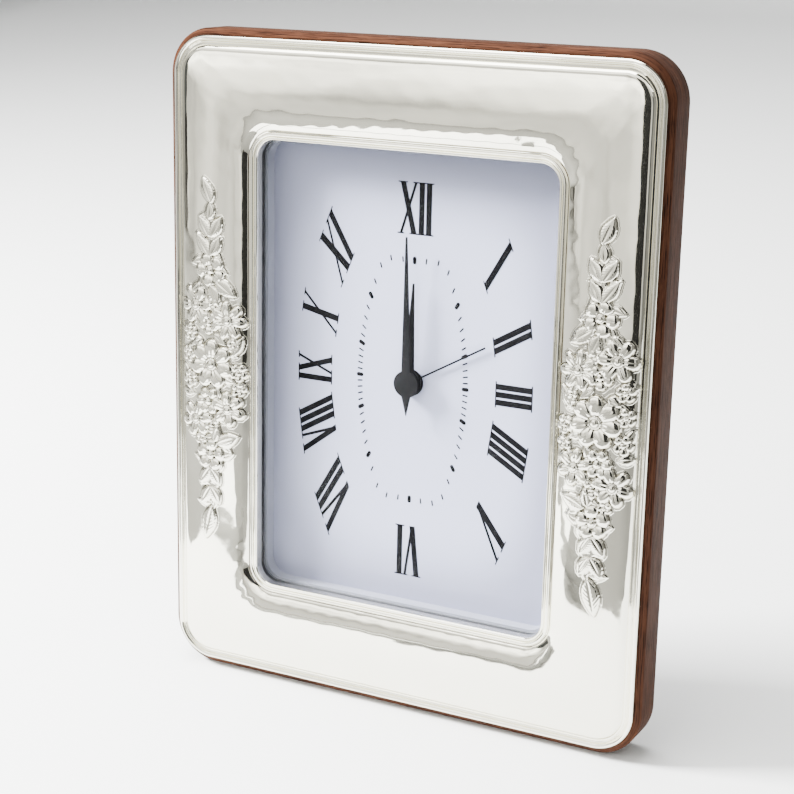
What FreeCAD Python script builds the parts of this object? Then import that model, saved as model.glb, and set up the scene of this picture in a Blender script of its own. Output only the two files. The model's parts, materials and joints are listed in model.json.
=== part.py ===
import FreeCAD, Part
import math
import os

os.makedirs("parts", exist_ok=True)

# A standing picture-frame alarm clock. All sizes are in millimetres.
# Pieces are drawn upright about the middle of the dial: X to the viewer's right, Y into the
# clock, Z up, with zero depth at the outer edge of the pressed metal sheet. The whole clock is
# then leaned back and set on its rear bottom edge and its easel leg.

# Stance
millimetres_per_metre = 1000.0
lean_angle = 5.0
leg_open_angle = 25.0

# Pressed metal front
sheet_width = 142.0
sheet_height = 180.0
sheet_corner = 11.0
rail_width = 27.0
opening_corner = 5.2
swell_height = 2.6
sheet_thickness = 0.4
flange_depth = 1.9
glue_gap = 0.1

# Wooden frame behind it
wood_overhang = 1.7
wood_chamfer_flat = 0.3
wood_chamfer_depth = 1.1
wood_depth = 12.0
wood_back_radius = 1.5
back_arc_steps = 3
rebate_step = 4.0
rebate_corner = 2.0
rebate_depth = 2.0

# What is stacked in the rebate
fit_gap = 0.3
glass_thickness = 2.0
tape_thickness = 0.7
spacer_height = 3.4
spacer_overlap = 0.4
card_thickness = 0.4
plate_thickness = 1.0
panel_thickness = 2.5
ink_thickness = 0.05

# Hands
hub_radius = 3.7
minute_length = 40.0
minute_tail = 8.9
minute_root_width = 2.8
minute_tip_width = 0.5
tail_root_width = 3.4
hour_length = 27.5
hour_root_width = 3.2
hour_tip_width = 0.5
alarm_length = 25.0
alarm_width = 0.5
hand_thickness = 0.4
minute_hand_lift = 3.3
hour_hand_lift = 1.9
alarm_hand_lift = 0.6
minute_hand_angle = -1.1
hour_hand_angle = 1.9
alarm_hand_angle = 60.6

# Nested tubes at the centre
arbor_radius = 0.8
tube_wall = 0.6
running_gap = 0.05
bush_wall = 0.75
hub_collar_wall = 0.5

# Movement case
case_corner = 3.0
case_wall = 1.2
case_depth = 14.2
cover_thickness = 1.6
pad_thickness = 0.8
pad_margin = 3.0
cutout_gap = 1.0
battery_radius = 7.1
battery_length = 50.0
battery_gap = 0.2
battery_end_room = 1.3
battery_nub_radius = 2.75
battery_nub_length = 1.0
contact_thickness = 0.3
contact_width = 9.0

# Gear train
set_module = 0.4
cannon_teeth = 10
minute_wheel_teeth = 30
minute_pinion_teeth = 8
hour_wheel_teeth = 32
set_pinion_teeth = 10
alarm_wheel_teeth = 36
alarm_pinion_teeth = 12
centre_module = 0.25
centre_wheel_teeth = 64
third_pinion_teeth = 8
train_module = 0.2
third_wheel_teeth = 60
second_pinion_teeth = 8
second_wheel_teeth = 40
step_pinion_teeth = 8
step_wheel_teeth = 48
rotor_pinion_teeth = 8
step_module = 0.15
wheel_thickness = 0.6
pinion_thickness = 0.8
level_pitch = 1.2
gear_order = ["alarm", "hour", "cannon", "centre", "third", "second", "step"]
minute_wheel_angle = 190.0
set_pinion_angle = 170.0
alarm_pinion_angle = 0.0
third_wheel_angle = 100.0
second_wheel_angle = 60.0
step_wheel_angle = 10.0
rotor_angle = 10.0
pivot_radius = 0.3
train_arbor_radius = 0.4
pivot_length = 0.7
bearing_plate_thickness = 0.8
bearing_plate_level = 10.2
bearing_margin = 0.6
rotor_radius = 2.2
rotor_height = 2.0
stator_thickness = 0.6
stator_gap = 0.4
coil_radius = 3.0
core_side = 1.6
arm_reach_share = 1.3
core_rise_share = 3.0
coil_top_share = 1.8
coil_foot_share = 1.3
notch_share = 1.5
post_radius = 1.3
board_thickness = 0.8
buzzer_radius = 9.5
buzzer_thickness = 0.4

# Controls on the back of the movement
knob_radius = 4.5
knob_height = 3.0
knob_flutes = 16
flute_radius = 0.45
knob_gap = 0.3
set_arbor_radius = 0.9
switch_travel = 4.0
switch_width = 3.4
switch_height = 2.6
switch_stand = 1.6
switch_plate_margin = 1.8
switch_plate_thickness = 0.8
switch_side_inset = 12.8
switch_top_inset = 5.8
slot_gap = 0.2

# Easel leg and its hinge
leg_width = 42.0
leg_foot_width = 32.0
leg_thickness = 4.0
leg_top_overlap = 7.5
leg_corner = 3.0
hinge_drop = 9.5
hinge_width = 26.0
hinge_leaf_height = 15.0
leaf_thickness = 0.7
knuckle_radius = 1.5
knuckle_gap = 0.1
knuckle_side_gap = 0.2
pin_radius = 0.75
leaf_screw_head_radius = 1.6
leaf_screw_head_height = 0.5
leaf_screw_radius = 0.8
leaf_screw_spread = 7.0
panel_screw_depth = 2.0
leg_screw_depth = 3.0

# Turn clips that hold the back panel
clip_reach = 11.0
clip_tail = 3.0
clip_width = 6.0
clip_thickness = 0.8
clip_lift = 0.05
clip_screw_inset = 4.5
clip_rise = 40.0
clip_screw_head_radius = 2.1
clip_screw_head_height = 1.0
clip_screw_radius = 1.0
clip_screw_depth = 6.0

# Dial print
track_side_inset = 14.2
track_end_inset = 14.3
track_corner = 4.5
track_side_radius = 84.0
track_search_steps = 40
minute_mark_count = 60
hour_mark_count = 12
tick_length = 1.5
tick_width = 0.4
hour_tick_width = 0.9
thick_stroke = 1.6
thin_stroke = 0.75
x_letter_share = 2.2
v_letter_share = 2.0
stroke_gap = 0.55
serif_height = 0.35
serif_overhang = 0.6
numeral_side_inset = 13.8
numeral_end_inset = 15.4

# Front of the sheet in section: share of the rail's width from the outer edge, share of the swell
front_profile_shares = [
    (0.000, -0.12), (0.006, 0.14), (0.028, 0.30), (0.050, 0.14), (0.058, 0.00), (0.072, 0.10),
    (0.088, 0.00), (0.104, 0.24), (0.125, 0.45), (0.148, 0.58), (0.174, 0.66), (0.220, 0.75),
    (0.333, 0.89), (0.537, 1.00), (0.704, 0.92), (0.815, 0.70), (0.889, 0.34), (0.911, 0.16),
    (0.924, 0.34), (0.937, 0.39), (0.950, 0.34), (0.960, 0.15), (0.972, 0.29), (0.985, 0.30),
    (0.996, 0.18), (1.000, 0.04),
]
# Back of the sheet, from the opening outwards, on the shaped face of the wood
back_profile_shares = [
    (0.950, -0.10), (0.889, 0.14), (0.815, 0.52), (0.704, 0.75), (0.537, 0.84), (0.333, 0.74),
    (0.220, 0.50), (0.174, 0.22), (0.130, -0.12),
]
rise_share = 0.220
slope_share = 0.815

# Numerals: text, hour, places as shares of the numeral ring, bar length and serif tilt
numeral_shares = [
    ("XII", 0, 0.0, 0.992, 1.00, 90.0),
    ("I", 1, 0.808, 0.720, 1.00, 22.0),
    ("II", 2, 0.967, 0.328, 0.88, 8.0),
    ("III", 3, 1.0, 0.0, 0.77, 0.0),
    ("IIII", 4, 0.960, -0.320, 0.88, -8.0),
    ("V", 5, 0.808, -0.790, 1.06, -22.0),
    ("VI", 6, 0.0, -1.015, 1.04, -90.0),
    ("VII", 7, -0.795, -0.755, 1.06, -158.0),
    ("VIII", 8, -0.967, -0.334, 0.88, -172.0),
    ("IX", 9, -1.0, 0.0, 0.77, 180.0),
    ("X", 10, -0.950, 0.334, 0.90, 172.0),
    ("XI", 11, -0.790, 0.725, 1.02, 158.0),
]
numeral_length = 14.0

# Depths worked out from the stack
glass_front = rebate_depth
glass_back = glass_front + glass_thickness
tape_back = glass_back + tape_thickness
dial_front = tape_back + spacer_height
card_back = dial_front + card_thickness
plate_back = card_back + plate_thickness
panel_back = plate_back + panel_thickness
case_front_depth = plate_back + pad_thickness
case_rim = case_front_depth + case_depth
cover_back = case_rim + cover_thickness
case_inner = case_front_depth + case_wall
case_size = battery_length + 2 * (battery_end_room + case_wall)
case_half = case_size / 2
case_inner_half = case_half - case_wall
bay_floor = -case_inner_half
battery_height = bay_floor + battery_gap + battery_radius
bay_top = battery_height + battery_radius + battery_gap
battery_depth = case_inner + battery_gap + battery_radius

opening_width = sheet_width - 2 * rail_width
opening_height = sheet_height - 2 * rail_width
rebate_width = opening_width + 2 * rebate_step
rebate_height = opening_height + 2 * rebate_step
insert_width = rebate_width - 2 * fit_gap
insert_height = rebate_height - 2 * fit_gap

numeral_half_width = opening_width / 2 - numeral_side_inset
numeral_half_height = opening_height / 2 - numeral_end_inset
track_half_width = numeral_half_width - track_side_inset
track_half_height = numeral_half_height - track_end_inset
track_flat_half_width = track_half_width / 2

hour_bore = arbor_radius + running_gap
hour_tube_radius = hour_bore + tube_wall
alarm_bore = hour_tube_radius + running_gap
alarm_tube_radius = alarm_bore + tube_wall
bush_bore = alarm_tube_radius + running_gap
bush_radius = bush_bore + bush_wall
dial_hole = bush_radius + running_gap


def vector(x, depth, z):
    return FreeCAD.Vector(x, depth, z)


def block(x_low, x_high, front, back, z_low, z_high):
    """A plain box between two corners."""
    return Part.makeBox(x_high - x_low, back - front, z_high - z_low, vector(x_low, front, z_low))


def disc(radius, front, back, x=0.0, z=0.0):
    """A round bar along the depth."""
    return Part.makeCylinder(radius, back - front, vector(x, front, z), vector(0, 1, 0))


def prism(points, front, back):
    """A flat outline in X and Z, made as thick as front to back."""
    corners = [vector(x, front, z) for x, z in points]
    wire = Part.makePolygon(corners + [corners[0]])
    return Part.Face(wire).extrude(vector(0, back - front, 0))


def rounded_plate(width, height, radius, front, back, x=0.0, z=0.0):
    """A plate with four round corners."""
    half_x = width / 2
    half_z = height / 2
    edges = []
    turn = math.sqrt(0.5)
    inner_x = half_x - radius
    inner_z = half_z - radius
    signs = [(1, 1), (-1, 1), (-1, -1), (1, -1)]
    for index, (sx, sz) in enumerate(signs):
        centre_x = x + sx * inner_x
        centre_z = z + sz * inner_z
        side = vector(centre_x + sx * radius, front, centre_z)
        end = vector(centre_x, front, centre_z + sz * radius)
        middle = vector(centre_x + sx * radius * turn, front, centre_z + sz * radius * turn)
        start, stop = (side, end) if index % 2 == 0 else (end, side)
        edges.append(Part.Arc(start, middle, stop).toShape())
        next_x, next_z = signs[(index + 1) % 4]
        if index % 2 == 0:
            after = vector(x + next_x * inner_x, front, z + next_z * half_z)
        else:
            after = vector(x + next_x * half_x, front, z + next_z * inner_z)
        edges.append(Part.LineSegment(stop, after).toShape())
    return Part.Face(Part.Wire(edges)).extrude(vector(0, back - front, 0))


def corner_radius(inset):
    """Corner radius of the moulding at a distance in from the sheet's outer edge."""
    rise = rise_share * rail_width
    slope = slope_share * rail_width
    outer = sheet_corner - min(inset, rise)
    inner = opening_corner + rail_width - max(inset, slope)
    along = (min(max(inset, rise), slope) - rise) / (slope - rise)
    return outer * (1 - along) + inner * along


def moulding_edges(inset, depth, radius=None):
    """Eight edges of the rounded rectangle that runs round the moulding at one inset."""
    half_x = sheet_width / 2 - inset
    half_z = sheet_height / 2 - inset
    if radius is None:
        radius = corner_radius(inset)
    points = []
    for quarter, (sx, sz) in enumerate([(1, 1), (-1, 1), (-1, -1), (1, -1)]):
        for eighth in range(3):
            angle = math.radians(90 * quarter + 45 * eighth)
            x = sx * (half_x - radius) + radius * math.cos(angle)
            z = sz * (half_z - radius) + radius * math.sin(angle)
            points.append(vector(x, depth, z))
    edges = []
    for quarter in range(4):
        first, middle, last = points[3 * quarter: 3 * quarter + 3]
        following = points[(3 * quarter + 3) % len(points)]
        edges.append(Part.Arc(first, middle, last).toShape())
        edges.append(Part.LineSegment(last, following).toShape())
    return edges


def moulding_face(edge, other, level):
    """The face between two neighbouring edges of the moulding, a true plane where it is flat."""
    if not level and edge.Curve.TypeId != "Part::GeomLine":
        return Part.makeRuledSurface(edge, other)
    start = Part.LineSegment(other.firstVertex().Point, edge.firstVertex().Point).toShape()
    end = Part.LineSegment(edge.lastVertex().Point, other.lastVertex().Point).toShape()
    return Part.Face(Part.Wire(Part.sortEdges([edge, end, other, start])[0]))


def moulding_ring(section):
    """A closed solid with this section of inset, depth and radius run round the opening."""
    rows = [moulding_edges(*point) for point in section]
    faces = []
    for index, row in enumerate(rows):
        after = (index + 1) % len(rows)
        level = section[index][1] == section[after][1]
        for edge, other in zip(row, rows[after]):
            faces.append(moulding_face(edge, other, level))
    shell = Part.Shell(faces)
    shell.sewShape()
    solid = Part.Solid(shell)
    if solid.Volume < 0:
        solid.reverse()
    return solid


def gear(teeth, module, phase, front, back, x, z):
    """A toothed wheel with straight-sided teeth, one of them at the angle phase."""
    root_share = 1.15
    tip_share = 0.75
    half_root_share = 0.26
    half_tip_share = 0.09
    pitch_angle = 2 * math.pi / teeth
    root = module * (teeth / 2 - root_share)
    tip = module * (teeth / 2 + tip_share)
    flank = [(root, -half_root_share), (tip, -half_tip_share), (tip, half_tip_share), (root, half_root_share)]
    points = []
    for tooth in range(teeth):
        middle = math.radians(phase) + tooth * pitch_angle
        for radius, share in flank:
            angle = middle + share * pitch_angle
            points.append((x + radius * math.cos(angle), z + radius * math.sin(angle)))
    return prism(points, front, back)


def polar(centre, distance, angle):
    """The place at a distance and direction from another, in X and Z."""
    turn = math.radians(angle)
    return (centre[0] + distance * math.cos(turn), centre[1] + distance * math.sin(turn))


def meshed_place(centre, module, teeth, other_teeth, direction):
    """The place of a gear that meshes with one at the centre, in a direction from it."""
    return polar(centre, module * (teeth + other_teeth) / 2, direction)


def meshed_phase(teeth, phase, other_teeth, direction):
    """Phase of a gear that meshes with another one that lies in this direction from it."""
    pitch = 360.0 / teeth
    ahead = (direction - phase) % pitch
    return direction + 180 + ahead * teeth / other_teeth + 180.0 / other_teeth


def hub_plate(outlines, lift):
    """A flat hand with its round hub, at a height above the dial."""
    back = dial_front - lift
    front = back - hand_thickness
    hand = disc(hub_radius, front, back)
    for points in outlines:
        hand = hand.fuse(prism(points, front, back))
    return hand.removeSplitter()


def blade(length, root_width, tip_width):
    """Outline of a tapered blade that points up from the hub."""
    root = hub_radius / 2
    half_root = root_width / 2
    half_tip = tip_width / 2
    return [(-half_root, root), (half_root, root), (half_tip, length), (-half_tip, length)]


nodes = {}

# Pressed metal front
front_section = [(inset * rail_width, -rise * swell_height) for inset, rise in front_profile_shares]
flange_inner = rail_width - sheet_thickness
back_section = [(inset * rail_width, -rise * swell_height) for inset, rise in back_profile_shares]
back_edge_depth = back_section[0][1]
flange_section = [(rail_width, flange_depth), (flange_inner, flange_depth), (flange_inner, back_edge_depth)]
nodes["silver_front"] = moulding_ring(front_section + flange_section + back_section)

# Mitred wooden rails
sight_inset = flange_inner - glue_gap
bed_depth = front_section[0][1] + glue_gap
wood_front = [(sight_inset, back_edge_depth + glue_gap)]
wood_front += [(inset, depth + glue_gap) for inset, depth in back_section[:-1]]
ledge_inset = -wood_chamfer_flat
wood_section = wood_front + [
    (back_section[-1][0], bed_depth),
    (ledge_inset, bed_depth),
    (-wood_overhang, bed_depth + wood_chamfer_depth),
]
back_arc_inset = wood_back_radius - wood_overhang
for step in range(back_arc_steps + 1):
    turn = math.radians(90.0 * step / back_arc_steps)
    wood_section.append((
        back_arc_inset - wood_back_radius * math.cos(turn),
        wood_depth - wood_back_radius + wood_back_radius * math.sin(turn),
    ))
rebate_inset = rail_width - rebate_step
wood_section += [
    (rebate_inset, wood_depth, rebate_corner),
    (rebate_inset, rebate_depth, rebate_corner),
    (sight_inset, rebate_depth),
]
wood_ring = moulding_ring(wood_section)

half_w = sheet_width / 2
half_h = sheet_height / 2
reach = 2 * wood_overhang
spine = half_h - half_w
rail_front = -swell_height
far_x = half_w + reach
far_z = half_h + reach
mitres = {
    "wood_rail_top": [(-far_x, far_z), (0, spine), (far_x, far_z)],
    "wood_rail_bottom": [(-far_x, -far_z), (0, -spine), (far_x, -far_z)],
    "wood_rail_left": [(-far_x, far_z), (-far_x, -far_z), (0, -spine), (0, spine)],
    "wood_rail_right": [(far_x, far_z), (far_x, -far_z), (0, -spine), (0, spine)],
}
clip_places = {
    "turn_clip_upper_left": (-1, 1),
    "turn_clip_upper_right": (1, 1),
    "turn_clip_lower_left": (-1, -1),
    "turn_clip_lower_right": (1, -1),
}
clip_x = rebate_width / 2 + clip_screw_inset
pilot_front = wood_depth - clip_screw_depth
for name, outline in mitres.items():
    rail = wood_ring.common(prism(outline, rail_front, wood_depth + reach))
    for sx, sz in clip_places.values():
        rail = rail.cut(disc(clip_screw_radius, pilot_front, wood_depth, sx * clip_x, sz * clip_rise))
    nodes[name] = rail

# Glass, tape and spacer in the rebate
nodes["glass_pane"] = rounded_plate(insert_width, insert_height, rebate_corner, glass_front, glass_back)
window_width = opening_width - 2 * spacer_overlap
window_height = opening_height - 2 * spacer_overlap
tape_width = opening_width + spacer_overlap
tape_height = opening_height + spacer_overlap
tape = rounded_plate(insert_width, insert_height, rebate_corner, glass_back, tape_back)
nodes["glass_tape"] = tape.cut(rounded_plate(tape_width, tape_height, opening_corner, glass_back, tape_back))
spacer = rounded_plate(insert_width, insert_height, rebate_corner, tape_back, dial_front)
nodes["spacer_frame"] = spacer.cut(
    rounded_plate(window_width, window_height, opening_corner, tape_back, dial_front))

# Dial card on its stiff plate
hole = disc(dial_hole, dial_front, plate_back)
card = rounded_plate(insert_width, insert_height, rebate_corner, dial_front, card_back)
nodes["dial_card"] = card.cut(hole)
plate = rounded_plate(insert_width, insert_height, rebate_corner, card_back, plate_back)
nodes["dial_plate"] = plate.cut(hole)


def numeral(text, hour, x_share, z_share, length_share, tilt):
    """One Roman numeral: bars along the hour's ray, serifs along the ring, read clockwise."""
    ray = math.radians(90 - 360 * hour / hour_mark_count)
    along = (math.cos(ray), math.sin(ray))
    lean = math.radians(tilt)
    across = (math.sin(lean), -math.cos(lean))
    spread = abs(along[0] * across[1] - along[1] * across[0])
    centre = (x_share * numeral_half_width, z_share * numeral_half_height)
    length = numeral_length * length_share
    top = length / 2
    foot = -top

    def place(point):
        u = point[0] / spread
        v = point[1]
        return (centre[0] + u * across[0] + v * along[0], centre[1] + u * across[1] + v * along[1])

    def stroke(u_foot, u_top, width):
        half = width / 2
        foot_end = [(u_foot - half, foot), (u_foot + half, foot)]
        top_end = [(u_top + half, top), (u_top - half, top)]
        return [place(corner) for corner in foot_end + top_end]

    def serif(u, level, width):
        half = width / 2 + serif_overhang
        low = foot if level < 0 else top - serif_height
        high = low + serif_height
        corners = [(u - half, low), (u + half, low), (u + half, high), (u - half, high)]
        return [place(corner) for corner in corners]

    pitch = thick_stroke + stroke_gap
    v_width = v_letter_share * thick_stroke
    x_width = x_letter_share * thick_stroke
    advance = {"I": pitch, "V": v_width + pitch, "X": x_width + pitch}
    total = sum(advance[letter] for letter in text) - stroke_gap
    cursor = -total / 2
    shapes = []
    for letter in text:
        if letter == "I":
            u = cursor + thick_stroke / 2
            shapes += [stroke(u, u, thick_stroke), serif(u, -1, thick_stroke), serif(u, 1, thick_stroke)]
        else:
            width = advance[letter] - stroke_gap
            left = cursor + thick_stroke / 2
            right = cursor + width - thin_stroke / 2
            if letter == "V":
                point = cursor + width / 2
                shapes += [stroke(point, left, thick_stroke), stroke(point, right, thin_stroke)]
            else:
                low_left = cursor + thin_stroke / 2
                low_right = cursor + width - thick_stroke / 2
                shapes += [stroke(low_right, left, thick_stroke), stroke(low_left, right, thin_stroke)]
                shapes += [serif(low_left, -1, thin_stroke), serif(low_right, -1, thick_stroke)]
            shapes += [serif(left, 1, thick_stroke), serif(right, 1, thin_stroke)]
        cursor += advance[letter]
    ink = [prism(points, dial_front - ink_thickness, dial_front) for points in shapes]
    return ink[0].multiFuse(ink[1:]).removeSplitter()


numerals = []
for row in numeral_shares:
    numerals += numeral(*row).Solids
nodes["dial_numerals"] = Part.Compound(numerals)


def track_radius(angle):
    """Distance from the centre to the minute track along a ray, angle from the upright."""
    dx = abs(math.sin(angle))
    dz = abs(math.cos(angle))
    side_centre = track_half_width - track_side_radius
    low = 0.0
    high = track_half_width + track_half_height
    for _ in range(track_search_steps):
        middle = (low + high) / 2
        x = dx * middle
        z = dz * middle
        inside = z < track_half_height and math.hypot(x - side_centre, z) < track_side_radius
        corner_x = track_flat_half_width
        corner_z = track_half_height - track_corner
        if inside and x > corner_x and z > corner_z:
            inside = math.hypot(x - corner_x, z - corner_z) < track_corner
        low, high = (middle, high) if inside else (low, middle)
    return low


ticks = []
for minute in range(minute_mark_count):
    turn = 360 * minute / minute_mark_count
    middle = track_radius(math.radians(turn))
    low = middle - tick_length / 2
    high = middle + tick_length / 2
    width = hour_tick_width if minute * hour_mark_count % minute_mark_count == 0 else tick_width
    tick = block(-width / 2, width / 2, dial_front - ink_thickness, dial_front, low, high)
    tick.rotate(vector(0, 0, 0), vector(0, 1, 0), turn)
    ticks.append(tick)
nodes["minute_track"] = Part.Compound(ticks)

# Hands on their nested tubes
minute_back = dial_front - minute_hand_lift
minute_front = minute_back - hand_thickness
hour_back = dial_front - hour_hand_lift
alarm_back = dial_front - alarm_hand_lift
tail_root = -hub_radius / 2
tail = [(-tail_root_width / 2, tail_root), (tail_root_width / 2, tail_root), (0, -minute_tail)]
collar_back = hour_back - hand_thickness - running_gap - fit_gap
minute_hand = hub_plate([blade(minute_length, minute_root_width, minute_tip_width), tail], minute_hand_lift)
minute_hand = minute_hand.fuse(disc(arbor_radius + hub_collar_wall, minute_back, collar_back))
arbor_front = minute_front + hand_thickness / 2
minute_hand = minute_hand.removeSplitter().cut(disc(arbor_radius, arbor_front, collar_back))
minute_hand.rotate(vector(0, 0, 0), vector(0, 1, 0), minute_hand_angle)
nodes["minute_hand"] = minute_hand
hour_hand = hub_plate([blade(hour_length, hour_root_width, hour_tip_width)], hour_hand_lift)
hour_hand = hour_hand.cut(disc(hour_tube_radius, hour_back - hand_thickness, hour_back))
hour_hand.rotate(vector(0, 0, 0), vector(0, 1, 0), hour_hand_angle)
nodes["hour_hand"] = hour_hand
alarm_hand = hub_plate([blade(alarm_length, alarm_width, alarm_width)], alarm_hand_lift)
alarm_hand = alarm_hand.cut(disc(alarm_tube_radius, alarm_back - hand_thickness, alarm_back))
alarm_hand.rotate(vector(0, 0, 0), vector(0, 1, 0), alarm_hand_angle)
nodes["alarm_hand"] = alarm_hand


def level(name):
    """Front depth of a gear level inside the case."""
    return case_inner + fit_gap + gear_order.index(name) * level_pitch


def wheel_span(name):
    middle = level(name) + pinion_thickness / 2
    return middle - wheel_thickness / 2, middle + wheel_thickness / 2


def pinion_span(name):
    return level(name), level(name) + pinion_thickness


# Places of the arbors
centre = (0.0, 0.0)
minute_place = meshed_place(centre, set_module, cannon_teeth, minute_wheel_teeth, minute_wheel_angle)
set_place = meshed_place(minute_place, set_module, minute_wheel_teeth, set_pinion_teeth, set_pinion_angle)
alarm_place = meshed_place(centre, set_module, alarm_wheel_teeth, alarm_pinion_teeth, alarm_pinion_angle)
third_place = meshed_place(centre, centre_module, centre_wheel_teeth, third_pinion_teeth, third_wheel_angle)
second_place = meshed_place(
    third_place, train_module, third_wheel_teeth, second_pinion_teeth, second_wheel_angle)
step_place = meshed_place(second_place, train_module, second_wheel_teeth, step_pinion_teeth, step_wheel_angle)
rotor_place = meshed_place(step_place, step_module, step_wheel_teeth, rotor_pinion_teeth, rotor_angle)

bearing_front = case_front_depth + bearing_plate_level
bearing_back = bearing_front + bearing_plate_thickness
pivot_front = case_inner - pivot_length


def train_arbor(place):
    """An arbor between the front wall and the bearing plate, with a thin pivot at each end."""
    arbor = disc(train_arbor_radius, case_inner + running_gap, bearing_front - running_gap, *place)
    return arbor.fuse(disc(pivot_radius, pivot_front, bearing_back, *place))


def train_wheel(wheel, wheel_level, pinion, pinion_level, place):
    """A wheel and its pinion on one arbor, each given by teeth, module and phase."""
    body = gear(*wheel, *wheel_span(wheel_level), *place)
    body = body.fuse(gear(*pinion, *pinion_span(pinion_level), *place))
    return body.fuse(train_arbor(place)).removeSplitter()


# Motion work: cannon pinion on the minute arbor, minute wheel, hour wheel and setting pinion
cannon_phase = 0.0
minute_phase = meshed_phase(cannon_teeth, cannon_phase, minute_wheel_teeth, minute_wheel_angle)
minute_pinion_phase = 0.0
hour_phase = meshed_phase(minute_pinion_teeth, minute_pinion_phase, hour_wheel_teeth, minute_wheel_angle - 180)
set_phase = meshed_phase(minute_wheel_teeth, minute_phase, set_pinion_teeth, set_pinion_angle)
cannon = gear(cannon_teeth, set_module, cannon_phase, *pinion_span("cannon"), *centre)
nodes["minute_arbor"] = disc(arbor_radius, arbor_front, bearing_back).fuse(cannon).removeSplitter()
minute_pinion_front, hour_tube_back = pinion_span("hour")
minute_wheel_front, minute_wheel_back = wheel_span("cannon")
stud_back = level("cannon") + pinion_thickness
minute_wheel = gear(
    minute_wheel_teeth, set_module, minute_phase, minute_wheel_front, minute_wheel_back, *minute_place)
minute_pinion = gear(
    minute_pinion_teeth, set_module, minute_pinion_phase,
    minute_pinion_front, minute_wheel_front, *minute_place)
minute_wheel = minute_wheel.fuse(minute_pinion)
minute_wheel = minute_wheel.fuse(disc(train_arbor_radius, case_inner + running_gap, stud_back, *minute_place))
minute_wheel = minute_wheel.fuse(disc(pivot_radius, pivot_front, stud_back, *minute_place))
nodes["minute_wheel"] = minute_wheel.removeSplitter()
hour_front = hour_back - hand_thickness
hour_wheel = gear(hour_wheel_teeth, set_module, hour_phase, *wheel_span("hour"), *centre)
hour_wheel = hour_wheel.fuse(disc(hour_tube_radius, hour_front, hour_tube_back)).removeSplitter()
nodes["hour_wheel"] = hour_wheel.cut(disc(hour_bore, hour_front, hour_tube_back))

# Alarm wheel, its tube and its setting pinion
alarm_phase = 0.0
alarm_pinion_phase = meshed_phase(alarm_wheel_teeth, alarm_phase, alarm_pinion_teeth, alarm_pinion_angle)
alarm_front = alarm_back - hand_thickness
alarm_tube_back = level("alarm") + pinion_thickness
alarm_wheel = gear(alarm_wheel_teeth, set_module, alarm_phase, *wheel_span("alarm"), *centre)
alarm_wheel = alarm_wheel.fuse(disc(alarm_tube_radius, alarm_front, alarm_tube_back)).removeSplitter()
nodes["alarm_wheel"] = alarm_wheel.cut(disc(alarm_bore, alarm_front, alarm_tube_back))


knob_front = cover_back + knob_gap


def setting_arbor(teeth, phase, gear_level, place):
    """An arbor from the front wall to its knob, with a setting pinion on it."""
    arbor = disc(set_arbor_radius, case_inner + running_gap, knob_front + knob_height / 2, *place)
    arbor = arbor.fuse(disc(pivot_radius, pivot_front, case_rim, *place))
    return arbor.fuse(gear(teeth, set_module, phase, *pinion_span(gear_level), *place)).removeSplitter()


def knob(place):
    """A small fluted knob with a round blind hole for its arbor."""
    body = disc(knob_radius, knob_front, knob_front + knob_height, *place)
    flutes = []
    for flute in range(knob_flutes):
        flute_place = polar(place, knob_radius, 360.0 * flute / knob_flutes)
        flutes.append(disc(flute_radius, knob_front, knob_front + knob_height, *flute_place))
    body = body.cut(Part.Compound(flutes))
    return body.cut(disc(set_arbor_radius, knob_front, knob_front + knob_height / 2, *place))


nodes["time_set_arbor"] = setting_arbor(set_pinion_teeth, set_phase, "cannon", set_place)
nodes["time_set_knob"] = knob(set_place)
nodes["alarm_set_arbor"] = setting_arbor(alarm_pinion_teeth, alarm_pinion_phase, "alarm", alarm_place)
nodes["alarm_set_knob"] = knob(alarm_place)

# Going train from the stepping rotor to the centre wheel
second_phase = 0.0
step_pinion_phase = meshed_phase(second_wheel_teeth, second_phase, step_pinion_teeth, step_wheel_angle)
step_phase = 0.0
rotor_phase = meshed_phase(step_wheel_teeth, step_phase, rotor_pinion_teeth, rotor_angle)
second_pinion_phase = 0.0
third_phase = meshed_phase(
    second_pinion_teeth, second_pinion_phase, third_wheel_teeth, second_wheel_angle - 180)
third_pinion_phase = 0.0
centre_phase = meshed_phase(
    third_pinion_teeth, third_pinion_phase, centre_wheel_teeth, third_wheel_angle - 180)
third_gear = (third_wheel_teeth, train_module, third_phase)
third_pinion = (third_pinion_teeth, centre_module, third_pinion_phase)
nodes["third_wheel"] = train_wheel(third_gear, "third", third_pinion, "centre", third_place)
second_gear = (second_wheel_teeth, train_module, second_phase)
second_pinion = (second_pinion_teeth, train_module, second_pinion_phase)
nodes["second_wheel"] = train_wheel(second_gear, "second", second_pinion, "third", second_place)
step_gear = (step_wheel_teeth, step_module, step_phase)
step_pinion = (step_pinion_teeth, train_module, step_pinion_phase)
nodes["step_wheel"] = train_wheel(step_gear, "step", step_pinion, "second", step_place)
rotor_x, rotor_z = rotor_place
stator_front = level("third")
stator_back = stator_front + stator_thickness
magnet_front = stator_front + stator_thickness / 2 - rotor_height / 2
rotor = disc(rotor_radius, magnet_front, magnet_front + rotor_height, rotor_x, rotor_z)
rotor = rotor.fuse(gear(rotor_pinion_teeth, step_module, rotor_phase, *pinion_span("step"), *rotor_place))
nodes["rotor"] = rotor.fuse(train_arbor(rotor_place)).removeSplitter()
centre_front, centre_back = wheel_span("centre")
centre_wheel = gear(centre_wheel_teeth, centre_module, centre_phase, centre_front, centre_back, *centre)
centre_wheel = centre_wheel.fuse(disc(hour_tube_radius, centre_front, bearing_front - running_gap))
nodes["centre_wheel"] = centre_wheel.removeSplitter().cut(disc(hour_bore, centre_front, bearing_front))

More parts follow.
